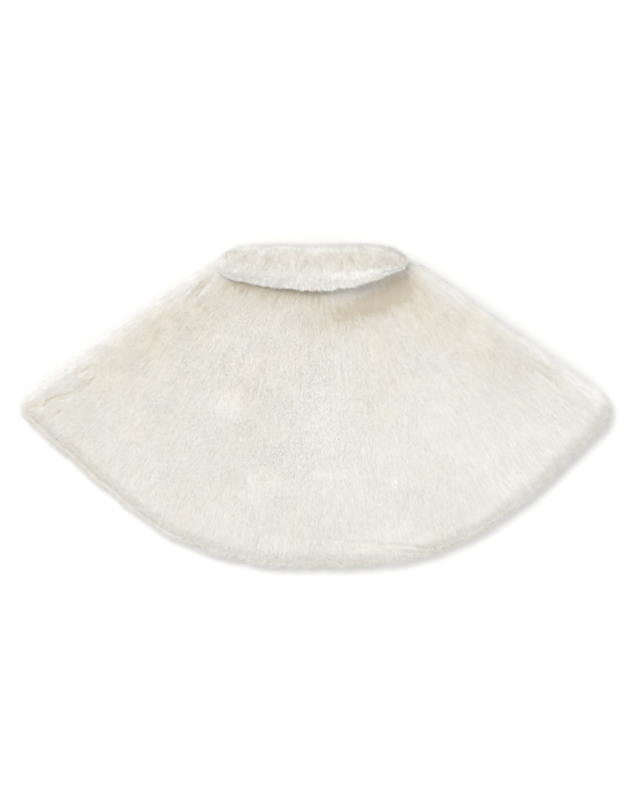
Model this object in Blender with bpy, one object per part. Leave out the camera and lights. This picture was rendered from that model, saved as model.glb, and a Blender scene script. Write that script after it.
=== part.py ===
"""Plush faux fur cape with a turned-down collar, laid flat with its back upwards.

The cape is cut as a cone and pressed flat, so a back panel lies on two front panels.
The panels meet in a seam along each shoulder fold and are free at the hem, and the two
fronts meet at the centre front. One collar goes all round the neck: it stands up from the
neck seam, rolls over and falls on the outside, over the back and under the fronts.
Every wall is knitted backing with its pile, so the walls reach as far as the fur does.

Frame: metres, +Z up, the underside at z = 0. +Y points from the hem to the collar.
Left and right are the wearer's, which a back view shows on the same sides.
"""

import math
from collections import namedtuple

import bmesh
import bpy
import numpy as np

MM = 0.001

# Cut of the cone
APEX_X = -2.9 * MM  # where the two shoulder folds would meet
APEX_Y = 208.7 * MM
SIDE_ANGLE = math.radians(54.7)  # from the centre line to each shoulder fold
CORNER_SWEEP = math.radians(4.0)  # the rounded corner between shoulder fold and hem
CORNER_DROP = 21.0 * MM
FRONT_SETBACK = 4.0 * MM  # the fronts' hem lies this far inside the back's

# Hem of the back, from the wearer's left fold to the right one, about the apex
HemRow = namedtuple("HemRow", "angle_deg radius_mm")
HEM = [
    HemRow(-54.7, 355.0),
    HemRow(-44.0, 347.0),
    HemRow(-35.0, 349.0),
    HemRow(-26.0, 358.5),
    HemRow(-15.0, 365.5),
    HemRow(0.0, 364.5),
    HemRow(16.0, 368.5),
    HemRow(26.0, 368.0),
    HemRow(35.0, 362.5),
    HemRow(45.0, 359.0),
    HemRow(54.7, 361.0),
]

# Neck seam
NECK_HALF_WIDTH = 88.0 * MM  # from the centre line to the shoulder fold
NECK_SIDE_Y = 146.4 * MM
FRONT_NECK_DROP = 40.0 * MM  # the front neck is cut lower than the back one
COLLAR_TUCK = 5.0 * MM  # how far the collar presses the folds in
TUCK_FULL = 17.0 * MM  # along the fold from the neck
TUCK_END = 38.0 * MM

# Walls and the gaps between them
SEAM_GAP = 0.3 * MM
NECK_SEAM_GAP = 0.5 * MM  # its edge is slanted at the folds, where less of this is left
BACK_WALL = 9.0 * MM
FRONT_WALL = 7.5 * MM  # pile pressed by the weight on it
LEAF_WALL = 5.0 * MM  # the collar under the fronts, pressed flat
COLLAR_GAP = 0.7 * MM  # between the collar and the panel that it lies on
NECK_SLIT = 1.0 * MM  # half the height of the pressed neck opening
RIM_SHARE = 0.16  # of a wall, left at its outline
BACK_ROUND = 12.0 * MM  # how far in from the outline a wall is rounded off
FRONT_ROUND = 7.0 * MM
OPENING_ROUND = 4.0 * MM  # at the centre front

# Height at which back and fronts meet: over the collar's leaves, and at the hem
MEET_NECK = FRONT_WALL + COLLAR_GAP + LEAF_WALL
MEET_HEM = FRONT_WALL
MEET_NECK_Y = 58.0 * MM
MEET_HEM_Y = -32.0 * MM

# Broad swells and hollows of the back, as they lie
SwellRow = namedtuple("SwellRow", "x_mm y_mm turn_deg length_mm width_mm height_mm")
SWELLS = [
    SwellRow(-150, 5, 58, 90, 26, 1.6),
    SwellRow(-112, 28, 62, 80, 18, -1.7),
    SwellRow(-40, 20, 80, 80, 34, 1.5),
    SwellRow(2, -10, 88, 110, 17, -1.6),
    SwellRow(70, 22, -38, 60, 20, 1.8),
    SwellRow(62, -100, -70, 50, 18, -1.6),
    SwellRow(-30, -112, 20, 60, 20, 1.3),
    SwellRow(150, 28, -35, 85, 20, -1.7),
    SwellRow(190, -45, 50, 70, 24, 1.4),
    SwellRow(-75, -80, 30, 60, 20, -1.3),
]

# Collar, round the neck from one end at the centre front to the other. place is across
# the neck, from -1 to 1. turn is 90 on the back, 0 at a fold and -90 on the fronts.
CollarRow = namedtuple("CollarRow", "place turn_deg stand_mm fall_mm lift_mm wall_mm")
COLLAR = [
    CollarRow(-0.004, -90, 9.0, 14.0, 0.0, 5.0),
    CollarRow(-0.05, -90, 10.0, 23.0, 0.0, 5.0),
    CollarRow(-0.16, -90, 11.0, 29.0, 0.0, 5.0),
    CollarRow(-0.50, -90, 12.0, 30.0, 0.0, 5.0),
    CollarRow(-1.00, -90, 10.0, 22.0, 0.0, 5.0),
    CollarRow(-1.00, 0, 3.0, 15.0, 0.0, 5.0),
    CollarRow(-1.00, 90, 19.0, 13.0, 1.0, 8.0),
    CollarRow(-0.80, 90, 21.5, 17.5, 1.5, 9.0),
    CollarRow(-0.50, 90, 22.5, 19.5, 2.0, 9.0),
    CollarRow(0.00, 90, 22.0, 21.7, 3.0, 9.0),
    CollarRow(0.50, 90, 23.0, 17.5, 5.0, 9.0),
    CollarRow(0.80, 90, 21.5, 9.0, 6.5, 9.0),
    CollarRow(1.00, 90, 18.0, 5.0, 5.0, 8.0),
    CollarRow(1.00, 0, 3.0, 7.0, 0.0, 5.0),
    CollarRow(1.00, -90, 10.0, 22.0, 0.0, 5.0),
    CollarRow(0.50, -90, 12.0, 30.0, 0.0, 5.0),
    CollarRow(0.16, -90, 11.0, 29.0, 0.0, 5.0),
    CollarRow(0.05, -90, 10.0, 23.0, 0.0, 5.0),
    CollarRow(0.004, -90, 9.0, 14.0, 0.0, 5.0),
]
STAND_LEAN = 0.15  # share of the panel's slant that the collar's stand keeps
COLLAR_STEPS = [2, 2, 4, 5, 5, 5, 4, 5, 7, 7, 5, 4, 5, 5, 5, 4, 2, 2]  # between rows
NOSE_STEPS = 6  # round the roll of the collar

# Stations: shares of the way in from an edge, close together where a wall is rounded
EDGE_SHARES = [0.0, 0.0045, 0.012, 0.024, 0.039, 0.073]
HEM_SHARES = [0.0, 0.005, 0.014, 0.028, 0.045, 0.09]
ACROSS_STEPS = 30
ALONG_STEPS = 18
OPENING_SHARES = [0.0, 0.004, 0.012, 0.03]  # in from the centre front

FUR_COLOUR = (0.79, 0.75, 0.68, 1.0)
FUR_ROUGHNESS = 0.9


def smooth(share):
    """Eases from 0 to 1 as share does."""
    share = np.clip(share, 0.0, 1.0)
    return share * share * (3.0 - 2.0 * share)


def through_rows(at, places, values):
    """A smooth curve through the rows of a table, read at one place (Catmull-Rom)."""
    last = len(places) - 1
    row = int(np.clip(np.searchsorted(places, at) - 1, 0, last - 1))
    before, after = max(row - 1, 0), min(row + 2, last)
    step = places[row + 1] - places[row]
    t = (at - places[row]) / step
    leaving = (values[row + 1] - values[before]) / (places[row + 1] - places[before])
    coming = (values[after] - values[row]) / (places[after] - places[row])
    return (
        (2 * t**3 - 3 * t**2 + 1) * values[row]
        + (t**3 - 2 * t**2 + t) * step * leaving
        + (3 * t**2 - 2 * t**3) * values[row + 1]
        + (t**3 - t**2) * step * coming
    )


def rounded(distance, reach):
    """Share of a wall's height at a distance in from its outline: a quarter ellipse."""
    inside = np.clip(distance / reach, 0.0, 1.0)
    return math.sqrt(1.0 - (1.0 - inside) ** 2)


def down(share):
    """Unit vector in plan from neck to hem, share of the way from centre line to fold."""
    return np.array([math.sin(share * SIDE_ANGLE), -math.cos(share * SIDE_ANGLE)])


def outwards(side):
    """Unit vector in plan square to a shoulder fold, pointing off the cape."""
    return np.array([side * math.cos(SIDE_ANGLE), math.sin(SIDE_ANGLE)])


def meeting_height(y):
    """Height at which the back lies on the fronts."""
    rise = smooth((y - MEET_HEM_Y) / (MEET_NECK_Y - MEET_HEM_Y))
    return MEET_HEM + (MEET_NECK - MEET_HEM) * rise


def fold_start(side):
    """The neck end of a shoulder fold, before the collar presses it in."""
    return np.array([APEX_X + side * NECK_HALF_WIDTH, NECK_SIDE_Y])


def tuck(point, side):
    """How far the fold is pressed in beside a point."""
    along = float((point - fold_start(side)) @ down(side))
    return COLLAR_TUCK * (1.0 - smooth((along - TUCK_FULL) / (TUCK_END - TUCK_FULL)))


def fold_distance(point):
    """Distance in plan from a point to the nearer shoulder fold."""
    return min(
        float((fold_start(side) - point) @ outwards(side)) - tuck(point, side)
        for side in (-1, 1)
    )


def neck_axis(side):
    """The line that the fold's rounding turns about, at the neck seam."""
    return fold_start(side) - outwards(side) * (COLLAR_TUCK + BACK_ROUND)


def neck_seam(place, drop):
    """A point of the neck seam, place -1 to 1 between the two axes of the folds."""
    left, right = neck_axis(-1), neck_axis(1)
    middle = (left + right) / 2 + (right - left) / 2 * place
    return middle - np.array([0.0, drop * (1.0 - place**2)])


def neck_point(share, drop):
    """A point of a panel's neck edge, share -1 to 1 from fold to fold."""
    flat = (neck_axis(1) - neck_axis(-1))[0] / 2
    reach = flat + BACK_ROUND
    place = share * reach / flat
    if abs(place) <= 1.0:
        return neck_seam(place, drop)
    side = math.copysign(1, share)
    return neck_axis(side) + outwards(side) * (abs(share) * reach - flat)


def hem_point(share, setback):
    """A point of the hem, share -1 to 1 from fold to fold."""
    angle = share * SIDE_ANGLE
    angles = [math.radians(row.angle_deg) for row in HEM]
    radius = through_rows(angle, angles, [row.radius_mm * MM for row in HEM])
    turned = np.clip((abs(angle) - SIDE_ANGLE + CORNER_SWEEP) / CORNER_SWEEP, 0, 1)
    radius -= CORNER_DROP * (1.0 - math.sqrt(1.0 - turned**2)) + setback
    return np.array([APEX_X, APEX_Y]) + down(share) * radius


def panel_point(share, along, drop, setback):
    """A point of a panel in plan: across from fold to fold, along from neck to hem."""
    neck, hem = neck_point(share, drop), hem_point(share, setback)
    point = neck + (hem - neck) * along
    if abs(share) == 1.0:
        straight = fold_start(share) + (hem - fold_start(share)) * along
        point = straight - outwards(share) * tuck(straight, share)
    return point


def swell(point):
    """Height of the broad swells at a point of the back, none under the collar."""
    height = 0.0
    for row in SWELLS:
        turn = math.radians(row.turn_deg)
        x, y = point - np.array([row.x_mm, row.y_mm]) * MM
        length = (x * math.cos(turn) + y * math.sin(turn)) / (row.length_mm * MM)
        width = (y * math.cos(turn) - x * math.sin(turn)) / (row.width_mm * MM)
        height += row.height_mm * MM * math.exp(-(length**2) - width**2)
    return height * (1.0 - smooth(point[1] / MEET_NECK_Y))


def slab(name, material, top, bottom):
    """A closed wall between two grids of points that lie over each other."""
    mesh = bmesh.new()
    grids = [[[mesh.verts.new(p) for p in line] for line in grid] for grid in (top, bottom)]
    lines, points = len(top), len(top[0])
    for i in range(lines - 1):
        for j in range(points - 1):
            corners = [(i, j), (i, j + 1), (i + 1, j + 1), (i + 1, j)]
            for grid in grids:
                mesh.faces.new([grid[a][b] for a, b in corners])
    rim = [(i, 0) for i in range(lines)]
    rim += [(lines - 1, j) for j in range(1, points)]
    rim += [(i, points - 1) for i in range(lines - 2, -1, -1)]
    rim += [(0, j) for j in range(points - 2, 0, -1)]
    for (a, b), (c, d) in zip(rim, rim[1:] + rim[:1]):
        mesh.faces.new([grids[0][a][b], grids[0][c][d], grids[1][c][d], grids[1][a][b]])
    return finish(name, material, mesh)


def loft(name, material, rings):
    """A closed wall through rings of equally many points, capped at both ends."""
    mesh = bmesh.new()
    rings = [[mesh.verts.new(p) for p in ring] for ring in rings]
    for first, second in zip(rings, rings[1:]):
        for k in range(len(first)):
            mesh.faces.new([first[k - 1], first[k], second[k], second[k - 1]])
    mesh.faces.new(rings[0])
    mesh.faces.new(rings[-1])
    return finish(name, material, mesh)


def finish(name, material, mesh):
    """Turns a closed bmesh into a named object with its faces outwards."""
    bmesh.ops.recalc_face_normals(mesh, faces=mesh.faces)
    data = bpy.data.meshes.new(name)
    mesh.to_mesh(data)
    mesh.free()
    data.shade_smooth()
    data.set_sharp_from_angle(angle=math.radians(50))
    data.materials.append(material)
    return bpy.data.objects.new(name, data)


def along_shares():
    """Shares from neck to hem, close together at the hem."""
    plain = np.linspace(1.0, HEM_SHARES[-1], ALONG_STEPS + 1)
    return [1.0 - share for share in [*plain, *HEM_SHARES[-2::-1]]]


def back_panel(material):
    """The back: its outer side up, rounded off at the hem and the shoulder folds."""
    inner = np.linspace(-1 + EDGE_SHARES[-1], 1 - EDGE_SHARES[-1], ACROSS_STEPS + 1)
    edge = EDGE_SHARES[:-1]
    across = [*(s - 1 for s in edge), *inner, *(1 - s for s in reversed(edge))]
    top, bottom = [], []
    for share in across:
        top.append([])
        bottom.append([])
        for along in along_shares():
            point = panel_point(share, along, 0.0, 0.0)
            run = float(np.linalg.norm(hem_point(share, 0.0) - neck_point(share, 0.0)))
            height = rounded(fold_distance(point), BACK_ROUND)
            height *= rounded((1.0 - along) * run, BACK_ROUND)
            base = meeting_height(point[1]) + SEAM_GAP / 2
            rise = BACK_WALL * max(height, RIM_SHARE) + swell(point) * height
            top[-1].append((*point, base + rise))
            bottom[-1].append((*point, base))
    return slab("back_panel", material, top, bottom)


def front_panel(name, side, material):
    """One front: its outer side down, rounded off at fold, hem and centre front."""
    inner = np.linspace(1 - EDGE_SHARES[-1], OPENING_SHARES[-1], ACROSS_STEPS // 2 + 1)
    across = [*(1 - s for s in EDGE_SHARES[:-1]), *inner, *reversed(OPENING_SHARES[:-1])]
    top, bottom = [], []
    for share in across:
        top.append([])
        bottom.append([])
        for along in along_shares():
            point = panel_point(side * share, along, FRONT_NECK_DROP, FRONT_SETBACK)
            start = neck_point(side * share, FRONT_NECK_DROP)
            run = float(np.linalg.norm(hem_point(side * share, FRONT_SETBACK) - start))
            from_opening = abs(point[0] - APEX_X)
            point = point + np.array([side * SEAM_GAP / 2, 0.0]) * (share == 0.0)
            height = rounded(fold_distance(point), BACK_ROUND)
            height *= rounded((1.0 - along) * run, FRONT_ROUND)
            height *= rounded(from_opening, OPENING_ROUND)
            base = meeting_height(point[1])
            depth = (FRONT_WALL - SEAM_GAP / 2) * max(height, RIM_SHARE)
            top[-1].append((*point, base - SEAM_GAP / 2))
            bottom[-1].append((*point, base - SEAM_GAP / 2 - depth))
    return slab(name, material, top, bottom)


def collar_section(row, panel_wall):
    """Outline of the collar cut across: (distance down the panel, height off it)."""
    stand, fall, lift, wall = (value * MM for value in row[2:])
    inside, outside = NECK_SLIT - panel_wall, COLLAR_GAP + wall
    middle, half = (inside + outside) / 2, (outside - inside) / 2
    nose = min(stand - NECK_SEAM_GAP * 2, half)
    edge = min(wall, fall) * 0.5
    outline = [(-NECK_SEAM_GAP, inside)]
    for step in range(NOSE_STEPS + 1):
        angle = math.pi * (step / NOSE_STEPS - 0.5)
        outline.append(
            (nose - stand - nose * math.cos(angle), middle + half * math.sin(angle))
        )
    outline += [
        (0.0, outside),
        (fall * 0.5, outside + lift * 0.35),
        (fall - edge, outside - wall * 0.04 + lift * 0.8),
        (fall - edge * 0.3, outside - wall * 0.22 + lift),
        (fall, COLLAR_GAP + wall * 0.5 + lift),
        (fall - edge * 0.3, COLLAR_GAP + wall * 0.22 + lift),
        (fall - edge, COLLAR_GAP + lift * 0.8),
        (fall * 0.5, COLLAR_GAP + lift * 0.35),
        (0.0, COLLAR_GAP),
        (-NECK_SEAM_GAP, COLLAR_GAP),
    ]
    return outline


def collar_ring(row):
    """The collar's section at one place round the neck, on the panels' outer points."""
    turn = math.radians(row.turn_deg)
    panel_wall = BACK_WALL if row.turn_deg > 0 else FRONT_WALL
    drop = FRONT_NECK_DROP * smooth(-row.turn_deg / 90.0)
    side = math.copysign(1, row.place)
    start = neck_seam(row.place, drop)
    ring = []
    for along, off in collar_section(row, panel_wall):
        lean = row.place if along > 0 else row.place * STAND_LEAN
        point = start + down(lean) * along
        point = point + outwards(side) * (BACK_ROUND + off) * math.cos(turn)
        height = meeting_height(point[1]) + (panel_wall + off) * math.sin(turn)
        ring.append((*point, height))
    return ring


def collar(material):
    """The collar as one piece, all round the neck."""
    knots = [0, *np.cumsum(COLLAR_STEPS)]
    rings = []
    for ring in range(knots[-1] + 1):
        row = CollarRow(*(through_rows(ring, knots, column) for column in zip(*COLLAR)))
        place = float(np.clip(row.place, -1.0, 1.0))
        turn = float(np.clip(row.turn_deg, -90.0, 90.0))
        rings.append(collar_ring(row._replace(place=place, turn_deg=turn)))
    return loft("collar", material, rings)


def fur_material(name):
    """Ivory plush: pale, warm and without gloss."""
    material = bpy.data.materials.new(name)
    material.use_nodes = True
    shader = material.node_tree.nodes["Principled BSDF"]
    shader.inputs["Base Color"].default_value = FUR_COLOUR
    shader.inputs["Roughness"].default_value = FUR_ROUGHNESS
    shader.inputs["Metallic"].default_value = 0.0
    material.diffuse_color = FUR_COLOUR
    return material


def centre_on_origin(parts):
    """Moves the points of all parts so that the box round them is centred in plan."""
    points = np.array([v.co for part in parts for v in part.data.vertices])
    middle = (points.min(axis=0) + points.max(axis=0)) / 2
    for part in parts:
        for vertex in part.data.vertices:
            vertex.co.x -= middle[0]
            vertex.co.y -= middle[1]


def main():
    for old in list(bpy.data.objects):
        bpy.data.objects.remove(old)
    collection = bpy.data.collections.new("cape")
    bpy.context.scene.collection.children.link(collection)
    stand = bpy.data.objects.new("cape_origin", None)
    collection.objects.link(stand)
    parts = [
        back_panel(fur_material("back_fur")),
        front_panel("front_panel_left", -1, fur_material("front_left_fur")),
        front_panel("front_panel_right", 1, fur_material("front_right_fur")),
        collar(fur_material("collar_fur")),
    ]
    centre_on_origin(parts)
    for part in parts:
        collection.objects.link(part)
        part.parent = stand


main()
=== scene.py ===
"""Plush faux fur cape with a turned-down collar, laid flat with its back upwards.

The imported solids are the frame. Each panel and the collar gets a backing, a thin shell on its
solid's form, sunk by the depth of the pile, and its pile: tapered locks of fibre that follow
the nap from the neck to the hem. Everything is in metres in the frame of the solids: +Z up,
+Y from the hem to the collar, left and right as the wearer's.
"""

from __future__ import annotations

import logging
import math
from collections.abc import Sequence
from dataclasses import dataclass, field, replace
from enum import Enum
from typing import Any, NamedTuple

import bpy
import numpy as np
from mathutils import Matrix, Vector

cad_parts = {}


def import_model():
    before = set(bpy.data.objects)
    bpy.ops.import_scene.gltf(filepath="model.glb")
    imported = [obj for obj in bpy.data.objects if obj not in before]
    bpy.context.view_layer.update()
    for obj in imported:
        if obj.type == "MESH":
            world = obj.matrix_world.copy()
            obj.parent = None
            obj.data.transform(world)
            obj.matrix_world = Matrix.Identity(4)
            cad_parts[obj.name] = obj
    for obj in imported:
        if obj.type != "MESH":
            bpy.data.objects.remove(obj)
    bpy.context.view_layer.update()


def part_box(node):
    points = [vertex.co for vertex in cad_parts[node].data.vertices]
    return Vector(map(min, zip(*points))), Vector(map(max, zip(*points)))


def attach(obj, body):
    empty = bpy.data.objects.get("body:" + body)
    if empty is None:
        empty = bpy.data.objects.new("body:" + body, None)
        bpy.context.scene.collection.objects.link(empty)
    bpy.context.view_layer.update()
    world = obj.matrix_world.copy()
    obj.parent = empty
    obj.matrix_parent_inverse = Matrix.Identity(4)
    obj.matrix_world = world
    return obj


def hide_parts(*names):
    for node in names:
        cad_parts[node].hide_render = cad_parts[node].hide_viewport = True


Array = np.ndarray

MM = 0.001
SEED = 20417
BODY = "root"
MAP = "OFBake"
MAP_MARGIN = 0.01
APEX = (-2.9 * MM, 208.7 * MM)
LEAST_WALL = 0.4 * MM
NOISE_GAIN = 1.6
UP = np.array([0.0, 0.0, 1.0])
TINY = 1e-12
HAIR = 1e-6
FIT_GRID = (301, 101)
log = logging.getLogger("cape")

# added to a seed, so that what is drawn from it differs
STREAK_SEEDS = 10
LUMP_SEEDS = 20
TUFT_SEED = 50
CLUMP_SEED = 60


class Side(Enum):
    """The wearer's sides, as signs along X."""

    LEFT = -1
    RIGHT = 1


SIGNS = tuple(side.value for side in Side)


class Mark(Enum):
    """What a hand leaves in the nap."""

    PARTING = "parting"
    SWIRL = "swirl"


def linear(hex_colour: str) -> tuple[float, float, float, float]:
    """Turns an sRGB hex colour into linear RGBA.

    Args:
        hex_colour: Six hex digits, such as "e8e2d6".

    Returns:
        Linear red, green, blue and an alpha of 1.
    """
    values = []
    for place in (0, 2, 4):
        value = int(hex_colour[place : place + 2], 16) / 255
        values.append(value / 12.92 if value <= 0.04045 else ((value + 0.055) / 1.055) ** 2.4)
    return values[0], values[1], values[2], 1.0


def smooth(share: Array | float) -> Array | float:
    """Eases from 0 to 1 as share does."""
    share = np.clip(share, 0.0, 1.0)
    return share * share * (3.0 - 2.0 * share)


def unit(vectors: Array) -> Array:
    """Scales vectors to length 1."""
    return vectors / np.maximum(np.linalg.norm(vectors, axis=-1, keepdims=True), TINY)


def through_rows(at: Array, places: Sequence[float], values: Sequence[float]) -> Array:
    """Reads a smooth curve through the rows of a table (Catmull-Rom).

    Args:
        at: Where to read it.
        places: The rows' places, rising.
        values: The rows' values.

    Returns:
        The curve's value at each place asked for.
    """
    x = np.asarray(places, float)
    y = np.asarray(values, float)
    last = len(x) - 1
    row = np.clip(np.searchsorted(x, at) - 1, 0, last - 1)
    before = np.maximum(row - 1, 0)
    after = np.minimum(row + 2, last)
    step = x[row + 1] - x[row]
    t = (at - x[row]) / step
    leaving = (y[row + 1] - y[before]) / (x[row + 1] - x[before])
    coming = (y[after] - y[row]) / (x[after] - x[row])
    return (
        (2 * t**3 - 3 * t**2 + 1) * y[row]
        + (t**3 - 2 * t**2 + t) * step * leaving
        + (3 * t**2 - 2 * t**3) * y[row + 1]
        + (t**3 - t**2) * step * coming
    )


def evenly(line: Array, count: int) -> Array:
    """Spaces points evenly along a line.

    Args:
        line: Points of the line, in order.
        count: How many points to place.

    Returns:
        The points at even distances.
    """
    steps = np.linalg.norm(np.diff(line, axis=0), axis=1)
    far = np.concatenate([[0.0], np.cumsum(steps)])
    at = np.linspace(0.0, far[-1], count)
    return np.stack([np.interp(at, far, column) for column in line.T], axis=-1)


def rounded(distance: Array, reach: float) -> Array:
    """Share of a wall's height at a distance in from its outline: a quarter ellipse."""
    inside = np.clip(distance / reach, 0.0, 1.0)
    return np.sqrt(1.0 - (1.0 - inside) ** 2)


def bell(distance: Array, reach: float) -> Array:
    """Fades from 1 at no distance to 0 well past the reach."""
    return np.exp(-((distance / reach) ** 2))


def beside(row: OvalRow | MarkRow, x: Array, y: Array) -> tuple[Array, Array]:
    """Reads places beside an oval or a mark.

    Args:
        row: The oval or the mark.
        x: Places along X.
        y: Places along Y.

    Returns:
        The distance away from its long line, and its fading from 1 in the middle to 0.
    """
    turn = math.radians(row.turn_deg)
    dx, dy = x - row.x_mm * MM, y - row.y_mm * MM
    along = dx * math.cos(turn) + dy * math.sin(turn)
    away = dy * math.cos(turn) - dx * math.sin(turn)
    fade = np.exp(-((along / (row.length_mm * MM)) ** 2) - (away / (row.width_mm * MM)) ** 2)
    return away, fade


class HemRow(NamedTuple):
    """One row of the hem: an angle about the apex and the radius there."""

    angle_deg: float
    radius_mm: float


class OvalRow(NamedTuple):
    """One oval place on the back. rise is a swell's height in mm, or the warmth of a painted shade.
    """

    x_mm: float
    y_mm: float
    turn_deg: float
    length_mm: float
    width_mm: float
    rise: float

    def share(self, x: Array, y: Array) -> Array:
        """How much of it there is at places in plan, from 1 in its middle to 0."""
        return beside(self, x, y)[1]

    def height(self, points: Array) -> Array:
        """Its height at points, where its rise is in mm."""
        return self.rise * MM * self.share(points[..., 0], points[..., 1])


class CollarRow(NamedTuple):
    """The collar at one place round the neck. turn is 90 on the back, -90 on the fronts."""

    place: float
    turn_deg: float
    stand_mm: float
    fall_mm: float
    lift_mm: float
    wall_mm: float


class MarkRow(NamedTuple):
    """One mark in the nap: where it lies, its run and width, and how far it turns the pile."""

    kind: Mark
    x_mm: float
    y_mm: float
    turn_deg: float
    length_mm: float
    width_mm: float
    strength: float


HEM = (
    HemRow(-54.7, 355.0),
    HemRow(-44.0, 347.0),
    HemRow(-35.0, 349.0),
    HemRow(-26.0, 358.5),
    HemRow(-15.0, 365.5),
    HemRow(0.0, 364.5),
    HemRow(16.0, 368.5),
    HemRow(26.0, 368.0),
    HemRow(35.0, 362.5),
    HemRow(45.0, 359.0),
    HemRow(54.7, 361.0),
)
SWELLS = (
    OvalRow(-150, 5, 58, 90, 26, 1.6),
    OvalRow(-112, 28, 62, 80, 18, -1.7),
    OvalRow(-40, 20, 80, 80, 34, 1.5),
    OvalRow(2, -10, 88, 110, 17, -1.6),
    OvalRow(70, 22, -38, 60, 20, 1.8),
    OvalRow(62, -100, -70, 50, 18, -1.6),
    OvalRow(-30, -112, 20, 60, 20, 1.3),
    OvalRow(150, 28, -35, 85, 20, -1.7),
    OvalRow(190, -45, 50, 70, 24, 1.4),
    OvalRow(-75, -80, 30, 60, 20, -1.3),
)
# the fur sinks below the lifted right half of the collar
HOLLOW = OvalRow(50, 102, 24, 50, 18, -3.0)
# painted shade: the first darker and warmer below the collar's lifted right half, the other two in
# bands beside the shoulders
PAINTED_SHADES = (
    OvalRow(50, 102, 24, 50, 17, 0.85),
    OvalRow(-128, 76, 34, 60, 24, 0.2),
    OvalRow(135, 74, -32, 80, 32, 0.27),
)
# the collar round the neck, from the centre front over the back, and the steps between its rows
COLLAR_FRONT = (
    CollarRow(0.004, -90, 9.0, 14.0, 0.0, 5.0),
    CollarRow(0.05, -90, 10.0, 23.0, 0.0, 5.0),
    CollarRow(0.16, -90, 11.0, 29.0, 0.0, 5.0),
    CollarRow(0.50, -90, 12.0, 30.0, 0.0, 5.0),
    CollarRow(1.00, -90, 10.0, 22.0, 0.0, 5.0),
)
COLLAR_BACK = (
    CollarRow(-1.00, 0, 3.0, 15.0, 0.0, 5.0),
    CollarRow(-1.00, 90, 19.0, 13.0, 1.0, 8.0),
    CollarRow(-0.80, 90, 21.5, 17.5, 1.5, 9.0),
    CollarRow(-0.50, 90, 22.5, 19.5, 2.0, 9.0),
    CollarRow(0.00, 90, 22.0, 21.7, 3.0, 9.0),
    CollarRow(0.50, 90, 23.0, 17.5, 5.0, 9.0),
    CollarRow(0.80, 90, 21.5, 9.0, 6.5, 9.0),
    CollarRow(1.00, 90, 18.0, 5.0, 5.0, 8.0),
    CollarRow(1.00, 0, 3.0, 7.0, 0.0, 5.0),
)
COLLAR_ROWS = (
    *(row._replace(place=-row.place) for row in COLLAR_FRONT),
    *COLLAR_BACK,
    *reversed(COLLAR_FRONT),
)
HALF_STEPS = (2, 2, 4, 5, 5, 5, 4, 5, 7)
COLLAR_STEPS = (*HALF_STEPS, *reversed(HALF_STEPS))
MARKS = (
    MarkRow(Mark.PARTING, -110, 113, 47, 17, 5, 0.75),
    MarkRow(Mark.PARTING, -113, 94, 28, 6, 4, 0.7),
    MarkRow(Mark.PARTING, -220, 21, 35, 10, 4, 0.8),
    MarkRow(Mark.PARTING, -260, 3, 25, 10, 4, 0.9),
    MarkRow(Mark.PARTING, -223, 34, 38, 7, 3.5, 0.7),
    MarkRow(Mark.PARTING, -240, 10, 20, 9, 3.5, 0.8),
    MarkRow(Mark.PARTING, -247, -6, 60, 7, 3.5, 0.6),
    MarkRow(Mark.PARTING, -229, -5, 68, 8, 3.5, 0.5),
    MarkRow(Mark.PARTING, -207, 9, 62, 9, 3.5, 0.4),
    MarkRow(Mark.SWIRL, 152, 68, 0, 13, 13, 0.4),
    MarkRow(Mark.PARTING, 215, 30, -35, 12, 4, 0.4),
    MarkRow(Mark.PARTING, 237, 7, -30, 9, 4, 0.35),
    MarkRow(Mark.PARTING, -14, -93, 60, 5, 3, 0.3),
    MarkRow(Mark.PARTING, 4, -108, 35, 6, 3, 0.3),
    MarkRow(Mark.PARTING, 25, -98, 75, 5, 3, 0.3),
    MarkRow(Mark.SWIRL, -85, 7, 0, 14, 14, 0.5),
    MarkRow(Mark.SWIRL, -51, -69, 0, 12, 12, -0.5),
    MarkRow(Mark.PARTING, 70, -133, -4, 45, 4, 0.5),
)


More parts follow.
